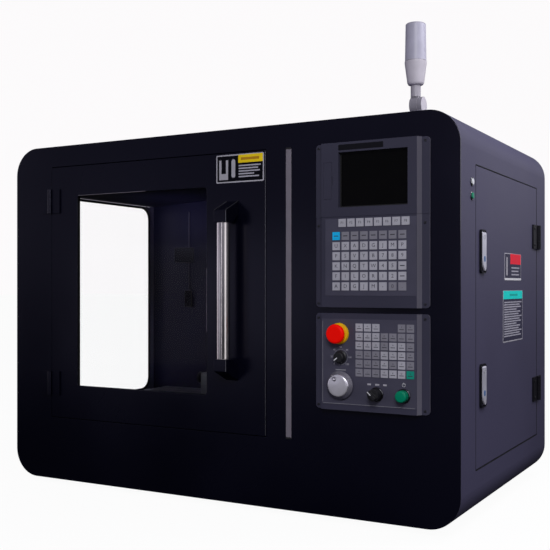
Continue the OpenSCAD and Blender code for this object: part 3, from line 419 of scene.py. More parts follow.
# %% Moulded plastics and rubber
def moulded(name, colour, rough, grain=1800.0, depth=0.015 * MM, gloss=0.4, **settings):
    """Moulded plastic: a fine even texture, and a slight drift in its gloss."""
    material, tree, shader = new_material(name, Specular_IOR_Level=gloss, **settings)
    skin = use(tree, coat_grain, Grain_Scale=grain)
    slow = use(tree, tone_drift, Drift_Scale=30.0)
    tone = two_tones(tree, slow.outputs["Drift"], scaled(colour, 0.94), scaled(colour, 1.05))
    tree.links.new(tone, shader.inputs["Base Color"])
    roughen(tree, slow.outputs["Drift"], shader, low=rough - 0.03, high=rough + 0.05)
    raise_bump(tree, skin.outputs["Height"], shader, depth)
    return material


black_plastic = moulded("black_plastic", (0.010, 0.010, 0.012), 0.45)
soft_rubber = moulded("soft_rubber", (0.012, 0.012, 0.013), 0.75, grain=900.0, depth=0.04 * MM, gloss=0.2)
drive_plastic = moulded("drive_plastic", (0.03, 0.031, 0.035), 0.5)
# The stop head's red also glows a little, though it holds no lamp: a painted glow that brightens it.
stop_red = moulded("stop_red", (0.98, 0.002, 0.0), 0.45, depth=0.004 * MM, gloss=0.1,
                   Emission_Color=(1.0, 0.01, 0.0, 1), Emission_Strength=0.1)
stop_yellow = moulded("stop_yellow", (0.80, 0.46, 0.004), 0.4, depth=0.004 * MM, gloss=0.2)
button_green = moulded("button_green", (0.0, 0.24, 0.125), 0.35, depth=0.004 * MM, gloss=0.15)
button_white = moulded("button_white", (0.72, 0.74, 0.76), 0.3, depth=0.004 * MM)
key_film = moulded("key_film", (0.056, 0.054, 0.084), 0.5, grain=2600.0, depth=0.008 * MM)
key_light = moulded("key_light", (0.42, 0.415, 0.46), 0.5, depth=0.006 * MM)
key_grey = moulded("key_grey", (0.22, 0.215, 0.25), 0.5, depth=0.006 * MM)
key_blue = moulded("key_blue", (0.0, 0.48, 0.88), 0.45, depth=0.006 * MM)
key_green = moulded("key_green", (0.0, 0.30, 0.21), 0.45, depth=0.006 * MM)
dark_print_and_painted_shade = moulded("dark_print_and_painted_shade", (0.035, 0.035, 0.045), 0.6)
print_white = moulded("print_white", (0.75, 0.75, 0.77), 0.6)
grey_print_and_painted_highlight = moulded("grey_print_and_painted_highlight", (0.25, 0.25, 0.27), 0.6)
print_pale = moulded("print_pale", (0.42, 0.41, 0.45), 0.5)
lamp_grey = moulded("lamp_grey", (0.55, 0.52, 0.57), 0.4, gloss=0.5)
stem_grey = moulded("stem_grey", (0.36, 0.34, 0.38), 0.4, gloss=0.5)
light_diffuser = moulded("light_diffuser", (0.19, 0.17, 0.20), 0.35, gloss=0.5)
# A pale edge that glows though it holds no lamp: a painted highlight for a trim in the chamber's shade.
painted_glow_edge = moulded("painted_glow_edge", (0.5, 0.48, 0.5), 0.4, Emission_Color=(0.9, 0.86, 1.0, 1),
                   Emission_Strength=0.2)
wheel_face = moulded("wheel_face", (0.78, 0.76, 0.82), 0.22, depth=0.002 * MM, gloss=0.8, Metallic=0.5)
wheel_side = moulded("wheel_side", (0.62, 0.60, 0.66), 0.2, depth=0.001 * MM, gloss=0.8, Metallic=0.75)
lens_frosted = moulded("lens_frosted", (0.43, 0.42, 0.51), 0.4, depth=0.004 * MM)
elbow_grey = moulded("elbow_grey", (0.22, 0.21, 0.24), 0.5, grain=1200.0, depth=0.05 * MM)
screen_black = moulded("screen_black", (0.0016, 0.0016, 0.0014), 0.12, grain=3000.0, depth=0.001 * MM,
                       gloss=0.12)
print("materials so far:", len(bpy.data.materials))


# %% Metals
def metal(name, colour, rough, along=(1.0, 1.0, 1.0), depth=0.004 * MM, contrast=0.12):
    """Bare metal with lines along the axis whose stretch is low, and streaks that are a little duller."""
    material, tree, shader = new_material(name, Metallic=1.0)
    lines = use(tree, brushed_lines, Along_X=along[0], Along_Y=along[1], Along_Z=along[2])
    tone = two_tones(tree, lines.outputs["Streak"], scaled(colour, 1 - contrast), colour)
    tree.links.new(tone, shader.inputs["Base Color"])
    roughen(tree, lines.outputs["Streak"], shader, low=rough + 0.06, high=rough - 0.03)
    raise_bump(tree, lines.outputs["Height"], shader, depth)
    return material


polished_tube = metal("polished_tube", (0.75, 0.71, 0.68), 0.16, along=(1, 1, 0.02), depth=0.002 * MM)
bright_chrome = metal("bright_chrome", (0.80, 0.80, 0.82), 0.1, depth=0.001 * MM, contrast=0.05)
smoked_chrome = metal("smoked_chrome", (0.10, 0.10, 0.11), 0.16, depth=0.001 * MM)
turned_aluminium = metal("turned_aluminium", (0.66, 0.66, 0.68), 0.3, along=(1, 0.1, 1))
ground_x = metal("ground_x", (0.52, 0.53, 0.55), 0.28, along=(0.03, 1, 1))
ground_y = metal("ground_y", (0.52, 0.53, 0.55), 0.28, along=(1, 0.03, 1))
ground_z = metal("ground_z", (0.52, 0.53, 0.55), 0.28, along=(1, 1, 0.03))
table_ground = metal("table_ground", (0.40, 0.41, 0.42), 0.34, along=(0.04, 1, 1), contrast=0.2)
black_oxide = metal("black_oxide", (0.07, 0.07, 0.075), 0.42, contrast=0.3)
zinc_and_painted_highlight = metal("zinc_and_painted_highlight", (0.45, 0.45, 0.46), 0.35)
print("materials so far:", len(bpy.data.materials))

# %% Threads of the lead screws
THREAD_PITCH = 5 * MM
THREAD_DEPTH = 1 * MM


def threaded(name, axis):
    """Ground steel with a round thread along one axis. A wave of scale 1 has 20 turns in a length of tau."""
    material = metal(name, (0.50, 0.51, 0.53), 0.25)
    tree = material.node_tree
    bands = tree.nodes.new("ShaderNodeTexWave")
    bands.bands_direction = axis
    bands.inputs["Scale"].default_value = math.tau / (20 * THREAD_PITCH)
    tree.links.new(object_place(tree), bands.inputs["Vector"])
    raise_bump(tree, bands.outputs["Fac"], tree.nodes["Principled BSDF"], THREAD_DEPTH)
    return material


thread_x, thread_y, thread_z = (threaded("thread_" + axis.lower(), axis) for axis in "XYZ")
print("thread pitch:", THREAD_PITCH / MM, "mm")


# %% Clear panes
def clear_pane(name, colour, rough):
    """A clear sheet with a faint haze that comes and goes in its tone and roughness, as cast sheet has."""
    material, tree, shader = new_material(name, Transmission_Weight=1.0, IOR=1.12)
    slow = use(tree, tone_drift, Drift_Scale=4.0)
    tone = two_tones(tree, slow.outputs["Drift"], scaled(colour, 0.995), colour)
    tree.links.new(tone, shader.inputs["Base Color"])
    roughen(tree, slow.outputs["Drift"], shader, rough, rough + 0.01)
    return material


window_clear = clear_pane("window_clear", (0.997, 0.998, 0.999), 0.0)
print("pane:", window_clear.name)

# %% [markdown]
# ## Which node wears which finish
# Every node of the working model gets one of these finishes. Rails, screws and tables take ground steel
# whose lines run the way that the piece was ground or slides, so one metal needs three directions.

# %% Give each node its finish
FINISH = {
    front_enamel: ["front_panel", "front_door_panel", "handle_brackets"],
    side_powder: ["left_wrap", "right_wrap", "rear_panel", "side_door_panel"],
    liner_coat: ["chamber_liner", "chip_pan", "partition_wall"],
    cabinet_white: ["cabinet_plate"],
    panel_texture: ["display_bezel", "keyboard_bezel", "operator_bezel"],
    black_bracket: ["hinge_fixed_leaves", "front_hinge_moving_leaves", "side_door_fittings"],
    black_plastic: ["levelling_feet", "override_knob", "selector_knob", "rear_fittings", "fan_rotor"],
    soft_rubber: ["door_window_seal"],
    window_clear: ["side_window_pane", "door_window_pane"],
    light_diffuser: ["light_strip"],
    screen_black: ["display_screen"],
    key_film: ["keypads"],
    stop_red: ["estop_head"],
    stop_yellow: ["estop_collar"],
    button_green: ["start_button", "power_off_button"],
    button_white: ["power_on_button"],
    bright_chrome: ["upper_latch_lever", "lower_latch_lever"],
    smoked_chrome: ["control_bezels"],
    polished_tube: ["handle_tube"],
    wheel_face: ["handwheel"],
    lamp_grey: ["lamp_base", "lamp_stem"],
    lens_frosted: ["lamp_lens"],
    cast_enamel: ["machine_bed", "column", "saddle"],
    head_enamel: ["head_casting"],
    ground_x: ["table_rails"],
    ground_y: ["guide_rails"],
    ground_z: ["spindle"],
    thread_x: ["x_screw"],
    thread_y: ["y_screw"],
    thread_z: ["z_screw"],
    table_ground: ["table", "vise_body", "vise_jaw"],
    black_oxide: ["vise_screw"],
    motor_black: ["axis_motors", "table_motor", "spindle_motor"],
    drive_plastic: ["servo_drives"],
}
for finish, names in FINISH.items():
    for name in names:
        for slot in nodes[name].material_slots:
            slot.material = finish
finished = {name for names in FINISH.values() for name in names}
print("nodes without a finish:", sorted(set(nodes) - finished))

# %% [markdown]
# ## Modelling helpers
# Every new piece starts from a cube, a cylinder, a ring or a letter and is shaped by applied modifiers and
# a few edit steps. Sculpting each by hand would give the same forms, but a few short helpers keep the sizes
# exact. Places are (across, back, up) in millimetres from the casing's left, front, bottom corner, so a
# piece sits where the same place is on the working model, and the casing's right, rear and top are read
# from it. Softened copies of a node get rounded edges, because a real edge catches the light and a sharp
# one doesn't.

# %% Places and the start of a piece
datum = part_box("front_panel")[0]
wrap_corner = (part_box("right_wrap")[1] - datum) / MM
RIGHT, TOP = round(wrap_corner.x, 1), round(wrap_corner.z, 1)
REAR = round((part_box("rear_panel")[1].y - datum.y) / MM, 1)
print("casing:", RIGHT, "x", REAR, "x", TOP, "mm")


def at(place):
    """Turns a place in millimetres from the casing's corner into metres in the frame."""
    return datum + Vector(place) * MM


def only(*objects):
    """Selects these objects and nothing else."""
    bpy.ops.object.select_all(action="DESELECT")
    for obj in objects:
        obj.select_set(True)
    bpy.context.view_layer.objects.active = objects[0]


def settled(name, material):
    """Fixes the new primitive's place in its mesh, and gives it a name and a finish."""
    bpy.ops.object.transform_apply(location=True, rotation=True, scale=True)
    obj = bpy.context.object
    obj.name = name
    obj.data.materials.append(material)
    return obj


def shape(obj, kind, **settings):
    """Adds one modifier and applies it."""
    only(obj)
    bpy.ops.object.modifier_add(type=kind)
    modifier = obj.modifiers[-1]
    for label, value in settings.items():
        setattr(modifier, label, value)
    bpy.ops.object.modifier_apply(modifier=modifier.name)
    return obj


def smooth(obj):
    """Smooth shading over round forms. Weighted normals keep the large flat faces flat."""
    only(obj)
    bpy.ops.object.shade_smooth_by_angle(angle=math.radians(40))
    return shape(obj, "WEIGHTED_NORMAL", keep_sharp=True)


def rounded(obj, edge):
    """Rounds every edge that is sharper than 35 degrees."""
    shape(obj, "BEVEL", width=edge * MM, segments=2, limit_method="ANGLE", angle_limit=math.radians(35))
    return smooth(obj)


# %% Blocks, plates, discs, rings and letters
TURN = {"X": (0, math.radians(90), 0), "Y": (math.radians(90), 0, 0), "Z": (0, 0, 0)}


def block(name, low, high, material, edge=0.0):
    """A box between two places, its edges rounded."""
    bpy.ops.object.select_all(action="DESELECT")
    bpy.ops.mesh.primitive_cube_add(size=1, location=(at(low) + at(high)) / 2, scale=at(high) - at(low))
    obj = settled(name, material)
    return rounded(obj, edge) if edge else obj


def plate(name, low, high, axis, corner, material, edge=0.0):
    """A box whose four edges along one axis are turned into round corners."""
    obj = block(name, low, high, material)
    only(obj)
    bpy.ops.object.mode_set(mode="EDIT")
    bpy.ops.mesh.select_mode(type="EDGE")
    bpy.ops.mesh.select_all(action="DESELECT")
    bpy.ops.object.mode_set(mode="OBJECT")
    places = obj.data.vertices
    for side in obj.data.edges:
        run = places[side.vertices[1]].co - places[side.vertices[0]].co
        side.select = abs(run["XYZ".index(axis)]) > 0.99 * run.length
    bpy.ops.object.mode_set(mode="EDIT")
    bpy.ops.mesh.bevel(offset=corner * MM, segments=4)
    bpy.ops.object.mode_set(mode="OBJECT")
    return rounded(obj, edge) if edge else smooth(obj)


def disc(name, centre, axis, radius, depth, material, edge=0.0, sides=48):
    """A round piece about an axis through its middle."""
    bpy.ops.object.select_all(action="DESELECT")
    bpy.ops.mesh.primitive_cylinder_add(vertices=sides, radius=radius * MM, depth=depth * MM,
                                        location=at(centre), rotation=TURN[axis])
    obj = settled(name, material)
    return rounded(obj, edge) if edge else smooth(obj)


def hoop(name, centre, axis, radius, thick, material):
    """A ring of round wire about an axis. Its thickness is the wire's radius."""
    bpy.ops.object.select_all(action="DESELECT")
    bpy.ops.mesh.primitive_torus_add(major_radius=radius * MM, minor_radius=thick * MM, major_segments=64,
                                     minor_segments=12, location=at(centre), rotation=TURN[axis])
    return smooth(settled(name, material))


def letter(text, centre, size, material):
    """A flat mark in the form of a letter or a number that faces the front."""
    bpy.ops.object.select_all(action="DESELECT")
    bpy.ops.object.text_add(location=at(centre), rotation=TURN["Y"])
    obj = bpy.context.object
    obj.data.body = text
    obj.data.size = size * MM
    obj.data.align_x = "CENTER"
    obj.data.align_y = "CENTER"
    obj.data.resolution_u = 2
    obj.data.extrude = 0.03 * MM
    bpy.ops.object.convert(target="MESH")
    return settled("mark", material)


# %% Copies, joins, cuts and softened nodes
def copied(obj, shifts):
    """The piece itself, and one copy with its own mesh for each shift in millimetres."""
    made = [obj]
    for shift in shifts:
        only(obj)
        bpy.ops.object.duplicate(linked=False)
        bpy.ops.transform.translate(value=Vector(shift) * MM)
        bpy.ops.object.transform_apply(location=True, rotation=False, scale=False)
        made.append(bpy.context.object)
    return made


def joined(name, objects):
    """Joins pieces into one object with a name."""
    only(*objects)
    if len(objects) > 1:
        bpy.ops.object.join()
    bpy.context.object.name = name
    return bpy.context.object


def row_of(obj, step, count):
    """Repeats a piece along one step in millimetres."""
    return shape(obj, "ARRAY", count=count, use_relative_offset=False, use_constant_offset=True,
                 constant_offset_displace=Vector(step) * MM)


def cut(obj, cutter):
    """Takes one piece's form out of another, and deletes it."""
    shape(obj, "BOOLEAN", object=cutter, operation="DIFFERENCE", solver="EXACT")
    only(cutter)
    bpy.ops.object.delete()
    return smooth(obj)


def softened(node, edge):
    """A copy of a node's mesh, merged and with rounded edges, that stands in for the node."""
    obj = bpy.data.objects.new(node + "_soft", nodes[node].data.copy())
    bpy.context.scene.collection.objects.link(obj)
    only(obj)
    bpy.ops.object.mode_set(mode="EDIT")
    bpy.ops.mesh.select_all(action="SELECT")
    bpy.ops.mesh.remove_doubles(threshold=0.01 * MM)
    bpy.ops.mesh.dissolve_limited(angle_limit=math.radians(1))
    bpy.ops.object.mode_set(mode="OBJECT")
    rounded(obj, edge)
    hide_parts(node)
    return obj


def tinted(obj, pick, *materials):
    """Adds materials and gives each face the one whose number pick returns for its middle and normal."""
    for material in materials:
        obj.data.materials.append(material)
    for face in obj.data.polygons:
        face.material_index = pick((face.center - datum) / MM, face.normal)
    return obj


def rides(body, *objects):
    """Lets pieces move with a body of the working model."""
    for obj in objects:
        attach(obj, body)
    print(body, "carries", [obj.name for obj in objects])

# %% [markdown]
# ## Keypads
# The keyboard and the operator panel are sealed films with keys that stand a little proud. Each key could
# be a loose cap, but a sealed film has none. So we soften one copy of the film node, tint its faces by the
# row and column that they lie in, and print a mark on every key: digits at the right, letters elsewhere,
# and short bars where a key has a word. All marks join into one piece, because one screen prints them all.

# %% Where the keys lie
UNIT_LEFT, KEYBOARD_FOOT, OPERATOR_FOOT = 882, 447, 231
KEY_STEP, FUNCTION_STEP, OPERATOR_STEP = 21.2, 20.2, 18.8
FILM_FRONT, KEY_FRONT = -16.6, -17.8
KEY_ROWS, KEY_COLUMNS = 6, 8
OPERATOR_ROWS, OPERATOR_COLUMNS = 6, 7
TOP_ROW, FUNCTION_ROW = 5, 6
first_key = Vector((UNIT_LEFT + 53.8, 0, KEYBOARD_FOOT + 44.6))
first_function = first_key + Vector((14, 0, TOP_ROW * KEY_STEP + 27.4))
first_operator = Vector((UNIT_LEFT + 106.6, 0, OPERATOR_FOOT + 81))


def key_place(place):
    """Which pad, column and row a place lies in. Rows count up from the lowest."""
    if place.z < KEYBOARD_FOOT:
        across, up = place.x - first_operator.x, place.z - first_operator.z
        return "operator", round(across / OPERATOR_STEP), round(up / OPERATOR_STEP)
    if place.z > first_key.z + (TOP_ROW + 0.5) * KEY_STEP:
        return "keyboard", round((place.x - first_function.x) / FUNCTION_STEP), FUNCTION_ROW
    return "keyboard", round((place.x - first_key.x) / KEY_STEP), round((place.z - first_key.z) / KEY_STEP)


# %% Soften the films and tint the keys
FILM, LIGHT, GREY, BLUE, GREEN = range(5)
GREY_COLUMNS = {5: (5, 6), 4: (3, 4, 5, 6), 3: (3, 6), 2: (0, 1, 2, 6), 1: (0, 1, 2, 4, 6), 0: (0, 1, 2)}


def key_tone(place, normal):
    """The finish of a face: the film keeps its own, and a key's depends on its row and column."""
    if place.y > FILM_FRONT - 0.15:
        return FILM
    pad, column, row = key_place(place)
    if pad == "keyboard":
        if row == TOP_ROW:
            return GREY if column else BLUE
        return GREY if row == 0 and column > 5 else LIGHT
    if (column, row) == (6, 0):
        return GREEN
    return GREY if column in GREY_COLUMNS.get(row, ()) else LIGHT


pads = tinted(softened("keypads", 0.3), key_tone, key_light, key_grey, key_blue, key_green)
print("faces of the films:", len(pads.data.polygons))

# %% Marks on the keyboard
LETTERS = "ABCDEFGHIJKLMNOPQRSTUVWXYZ"
DIGITS = ("-0.", "123", "456", "789")


def word_bar(centre, low, high):
    """A bar 10 mm wide where a key has a word, between two heights over the key's middle."""
    return block("mark", centre + Vector((-5, -0.05, low)), centre + Vector((5, 0, high)), dark_print_and_painted_shade)


marks = []
for row in range(KEY_ROWS):
    for column in range(KEY_COLUMNS):
        centre = first_key + Vector((column * KEY_STEP, KEY_FRONT, row * KEY_STEP))
        if row == TOP_ROW or (column == 7 and row in (1, 2)):
            marks.append(word_bar(centre, -1, 1))
        elif column > 4 and row < 4:
            marks.append(letter(DIGITS[row][column - 5], centre, 11, dark_print_and_painted_shade))
        else:
            sign = LETTERS[(row * 5 + column * 3) % len(LETTERS)]
            marks.append(letter(sign, centre, 11, dark_print_and_painted_shade))
for column in range(KEY_COLUMNS):
    centre = first_function + Vector((column * FUNCTION_STEP, KEY_FRONT, 0))
    marks.append(letter("F" + str(column + 1), centre, 7.5, dark_print_and_painted_shade))
print("marks on the keyboard:", len(marks))

# %% Marks on the operator panel's keys
SIGNS = "+-/=xo<>"
for row in range(OPERATOR_ROWS):
    for column in range(OPERATOR_COLUMNS):
        if row == TOP_ROW and column in (3, 4):
            continue
        centre = first_operator + Vector((column * OPERATOR_STEP, KEY_FRONT, row * OPERATOR_STEP))
        sign = SIGNS[(row + column) % len(SIGNS)]
        marks += [word_bar(centre, -3, -1.6), letter(sign, centre + Vector((0, 0, 2.4)), 7, dark_print_and_painted_shade)]
key_marks = joined("key_marks", marks)
rides("casing", pads, key_marks)

# %% [markdown]
# ## Panel prints and screws
# The operator panel has a scale round its override knob, captions over the selector and the start button,
# and a thin light line down its left edge, a painted highlight where the edge of the film catches light.
# They could be painted by a mask, but thin inlaid prints keep sharp edges at any distance. The units are
# held by small socket screws in their flanges. Their heads are turned discs with a six-sided recess, cut
# once and then copied.

# %% Prints on the operator panel
OVERRIDE_X, OVERRIDE_Z = 946, 343
DIAL_RADIUS, DIAL_MARKS, DIAL_START, DIAL_STEP = 21, 7, -135, 45
START_X, START_PRINT_Z = 1087, 291


def printed(low, high, material):
    """A thin print on the front of the films, between two places given as (across, up)."""
    near, far = FILM_FRONT - 0.06, FILM_FRONT
    return block("print", (low[0], near, low[1]), (high[0], far, high[1]), material)


prints = []
for step in range(DIAL_MARKS):
    turn = math.radians(DIAL_START + DIAL_STEP * step)
    spot = Vector((math.sin(turn), 0, math.cos(turn))) * DIAL_RADIUS
    spot += Vector((OVERRIDE_X, FILM_FRONT - 0.05, OVERRIDE_Z))
    prints.append(letter(str(step * 20), spot, 5.5, print_pale))
prints.append(hoop("print", (OVERRIDE_X, FILM_FRONT - 0.02, OVERRIDE_Z), "Y", 16.3, 0.3, grey_print_and_painted_highlight))
prints.append(printed((OVERRIDE_X - 12, 315), (OVERRIDE_X + 12, 317), grey_print_and_painted_highlight))
for x, width in ((1011, 8), (1029, 9), (1046, 8)):
    prints.append(printed((x - width / 2, 287), (x + width / 2, 290.5), print_pale))
prints.append(hoop("print", (START_X, FILM_FRONT - 0.02, START_PRINT_Z), "Y", 3.4, 0.45, print_white))
prints.append(printed((START_X - 0.4, START_PRINT_Z), (START_X + 0.4, START_PRINT_Z + 5), print_white))
# The pale line down the film's left edge is a painted highlight where that edge catches light.
prints.append(printed((903.5, 247), (904.3, 418), grey_print_and_painted_highlight))
prints.append(printed((905, 244.4), (1111, 245.2), grey_print_and_painted_highlight))
panel_prints = joined("panel_prints", prints)
rides("casing", panel_prints)

# %% Socket screws in the flanges of the units
def socket_screw(name, centre, axis, radius, height, material):
    """A round head with a six-sided recess through it along an axis."""
    head = disc(name, centre, axis, radius, height, material, edge=radius * 0.16, sides=32)
    return cut(head, disc("recess", centre, axis, radius * 0.5, height * 3, material, sides=6))


FLANGE_APART = 240.5
screw = socket_screw("unit_screws", (UNIT_LEFT + 6, -4.7, 621), "Y", 2.6, 1.5, black_oxide)
spots = [(x, 0, z) for x in (0, FLANGE_APART) for z in (0, 166, -166, -196, -382)]
unit_screws = joined("unit_screws", copied(screw, spots[1:]))
rides("casing", unit_screws)

# %% [markdown]
# ## Control units
# The bezels of the units are folded parts, so their long edges are a little round. The slope down their
# right side and the outer face beside it get a lighter coat, a painted highlight where light from the right
# would catch them. We could split the slope off as a strip of its own, but it's enough to give its faces
# another finish. The screen is a glass sheet behind the frame with a thin dark rim, and a plain dark strip
# lies above it.

# %% Soften the bezels, and add the strip and the screen's rim
SLOPE_LEFT = 1100


def highlight_slope_tone(place, normal):
    """1 on the slope and the outer face at a bezel's right, which get a painted highlight, and 0 elsewhere.
    """
    return int(normal.x > 0.5 and place.x > SLOPE_LEFT)


bezels = [softened(name, 0.8) for name in ("display_bezel", "keyboard_bezel", "operator_bezel")]
# The right slopes get the lighter coat: a painted highlight.
for bezel in bezels:
    tinted(bezel, highlight_slope_tone, painted_highlight_coat)
strip = plate("name_strip", (940, -16.15, 778), (1042, -15.95, 790), "Y", 2, black_bracket)
rim = plate("screen_rim", (939.2, -6.8, 657.2), (1095.8, -5.9, 774.8), "Y", 1.5, soft_rubber)
rim = cut(rim, block("opening", (943, -20, 661), (1092, 0, 771), soft_rubber))
rides("casing", *bezels, strip, rim)

# %% [markdown]
# ## Knobs and buttons
# These are turned and moulded parts with soft rims. A copy of each node gets rounded edges and rides its
# own body. The override knob and the selector carry a white pointer. The handwheel tapers to a polished
# face with a finger cup in it, and has a fine bead round its foot. The taper could be a new piece, but it's
# quicker to draw the front corners of the copy in.

# %% Soften the operating elements
SOFT_CONTROLS = {
    "emergency_stop": ("estop_head", 0.8),
    "override": ("override_knob", 0.5),
    "selector": ("selector_knob", 1.0),
    "start": ("start_button", 0.8),
    "power_on": ("power_on_button", 0.4),
    "power_off": ("power_off_button", 0.4),
    "wheel": ("handwheel", 0.6),
}
soft_controls = {body: softened(node, edge) for body, (node, edge) in SOFT_CONTROLS.items()}
print("softened:", [obj.name for obj in soft_controls.values()])

# %% Taper and tint the handwheel
WHEEL_X, WHEEL_Z = 946, 284
TAPER_FRONT, TAPER_RATIO = -29, 0.8
CUP = Vector((938.8, -34, 297.4))
CUP_REACH = 5.5


def gathered(obj, centre, ratio, chosen):
    """Draws the chosen corners of a piece in towards a place, as seen from the front."""
    only(obj)
    for part in (obj.data.polygons, obj.data.edges):
        part.foreach_set("select", [False] * len(part))
    for corner in obj.data.vertices:
        corner.select = chosen((corner.co - datum) / MM)
    bpy.context.tool_settings.mesh_select_mode = (True, False, False)
    bpy.ops.object.mode_set(mode="EDIT")
    bpy.ops.transform.resize(value=(ratio, 1, ratio), center_override=centre)
    bpy.ops.object.mode_set(mode="OBJECT")


def wheel_tone_with_cup_shade(place, normal):
    """0 on the face that looks to the front, 1 on the side, and 2 in the finger cup, painted dark as shade
    in its hollow.
    """
    if normal.y < -0.85:
        return 0
    return 2 if (place - CUP).length < CUP_REACH else 1


wheel = soft_controls["wheel"]
gathered(wheel, at((WHEEL_X, -25, WHEEL_Z)), TAPER_RATIO, lambda place: place.y < TAPER_FRONT)
# The finger cup gets the dark ink: painted shade in its hollow.
tinted(wheel, wheel_tone_with_cup_shade, wheel_side, dark_print_and_painted_shade)
for body, obj in soft_controls.items():
    rides(body, obj)
rides("casing", softened("estop_collar", 0.5), softened("control_bezels", 0.3))

# %% Pointers, and the handwheel's bead and cup edge
SELECTOR_X, SELECTOR_Z = 1028, 269


def turned(obj, axis, degrees, centre):
    """Turns a piece about an axis through a place, and fixes the turn in its mesh."""
    only(obj)
    bpy.ops.transform.rotate(value=math.radians(degrees), orient_axis=axis, center_override=at(centre))
    bpy.ops.object.transform_apply(location=True, rotation=True, scale=True)
    return obj


pointer = block("override_pointer", (OVERRIDE_X - 1, -31.25, 345), (OVERRIDE_X + 1, -31, 355), print_white)
rides("override", turned(pointer, "Y", 125, (OVERRIDE_X, -31, OVERRIDE_Z)))
pointer = block("selector_pointer", (SELECTOR_X - 0.8, -48.9, 270), (SELECTOR_X + 0.8, -48.5, 280),
                print_white)
rides("selector", turned(pointer, "Y", 45, (SELECTOR_X, -49, SELECTOR_Z)))
rim = hoop("wheel_rim", (WHEEL_X, -22, WHEEL_Z), "Y", 29.3, 0.4, wheel_side)
cup = hoop("wheel_cup_edge", CUP - Vector((0, 0.1, 0)), "Y", 4.9, 0.35, wheel_face)
rides("wheel", rim, cup)

# %% [markdown]
# ## Placards
# Three printed placards sit on the doors. Each is a thin plate with round corners, a light border, a block
# of colour for its heading and rows of short bars where it has small print. A picture could carry all this,
# but it would need an image file. So we lay thin sheets of plain colour over each other, with one helper
# for the front and for the side.

# %% Inks of the placards
heading_yellow = moulded("heading_yellow", (0.92, 0.66, 0.0), 0.45)
heading_ochre = moulded("heading_ochre", (0.50, 0.24, 0.0), 0.45)
heading_red = moulded("heading_red", (0.95, 0.006, 0.032), 0.45, gloss=0.2)
heading_green = moulded("heading_green", (0.0, 0.84, 0.74), 0.45, gloss=0.2)
heading_teal = moulded("heading_teal", (0.0, 0.50, 0.44), 0.45, gloss=0.2)
placard_black = moulded("placard_black", (0.0015, 0.0015, 0.004), 0.5, gloss=0.1)
placard_slate = moulded("placard_slate", (0.036, 0.034, 0.068), 0.5, gloss=0.2)
bar_grey = moulded("bar_grey", (0.42, 0.41, 0.47), 0.6, gloss=0.2)
print("materials so far:", len(bpy.data.materials))

# %% One helper for all placards
BORDER, GROUND, INK, OVERPRINT, LIP = 0.3, 0.36, 0.42, 0.46, 0.5
ROW_SHORTER = (0.0, 0.12, 0.04, 0.3, 0.08, 0.18)


def sheet(face, low, high, depth, material, corner=0.0):
    """A thin sheet on the front door or on the side door. Places are (across, up)."""
    if face == "front":
        ends, axis = ((low[0], -depth, low[1]), (high[0], 0, high[1])), "Y"
    else:
        ends, axis = ((RIGHT, low[0], low[1]), (RIGHT + depth, high[0], high[1])), "X"
    if corner:
        return plate("sheet", *ends, axis, corner, material)
    return block("sheet", *ends, material)


def bars(face, left, right, top, step, count, height):
    """Rows of small print: bars of differing length, from the top row down."""
    made = []
    for row in range(count):
        end = right - (right - left) * ROW_SHORTER[row % len(ROW_SHORTER)]
        up = top - row * step
        made.append(sheet(face, (left, up - height), (end, up), INK, bar_grey))
    return made


# %% Placard on the front door
door_placard = joined("door_placard", [
    sheet("front", (624, 727), (750, 791), BORDER, print_pale, corner=3),
    sheet("front", (627, 730), (747, 788), GROUND, placard_black, corner=2),
    sheet("front", (683, 771), (747, 789), INK, heading_yellow),
    sheet("front", (690, 777), (738, 783), OVERPRINT, heading_ochre),
    sheet("front", (632, 734), (656, 748), INK, print_pale),
    sheet("front", (632, 748), (638, 779), INK, print_pale),
    sheet("front", (650, 748), (656, 779), INK, print_pale),
    sheet("front", (665, 738), (675, 780), INK, print_pale, corner=4.5),
    *bars("front", 684, 742, 766, step=6.2, count=5, height=3)])
rides("front_door", door_placard)

# %% Placards on the side door
side_placards = joined("side_placards", [
    sheet("side", (325, 506), (474, 569), BORDER, print_pale, corner=3),
    sheet("side", (328, 511), (471, 567), GROUND, placard_slate, corner=2),
    sheet("side", (376, 544), (471, 568), INK, heading_red),
    sheet("side", (340, 516), (352, 560), INK, print_pale, corner=5),
    sheet("side", (326, 506), (473, 511), LIP, print_white),
    *bars("side", 386, 458, 537, step=8, count=3, height=3.2),
    sheet("side", (312, 362), (489, 482), BORDER, print_pale, corner=3),
    sheet("side", (315, 365), (486, 479), GROUND, placard_slate, corner=2),
    sheet("side", (315, 462), (486, 481), INK, heading_green),
    sheet("side", (370, 469), (440, 474), OVERPRINT, heading_teal),
    *bars("side", 322, 478, 456, step=5.6, count=15, height=3)])
rides("side_door", side_placards)

# %% [markdown]
# ## Handle and front door
# The tube is polished steel between two cast brackets. Each bracket gets round edges, and a fine bright
# strip down its right front corner paints the highlight there; the upper one has two more along its slope.
# A highlight could be a mask in the material, but these are so few and straight that a thin strip is
# simpler. The door's edge and the window's upper edge get thin pale strips too, as painted highlights.

# %% Handle, and the edges that catch light
BRACKET_RIGHT, BRACKET_LENGTH, BRACKET_SLOPE = 683.1, 25, -24.4
SLOPE_Y, SLOPE_Z = -26.5, 673.3


def painted_highlight_line(low, high):
    """A fine strip of bright metal along an edge: a painted highlight."""
    return block("edge", low, high, zinc_and_painted_highlight)


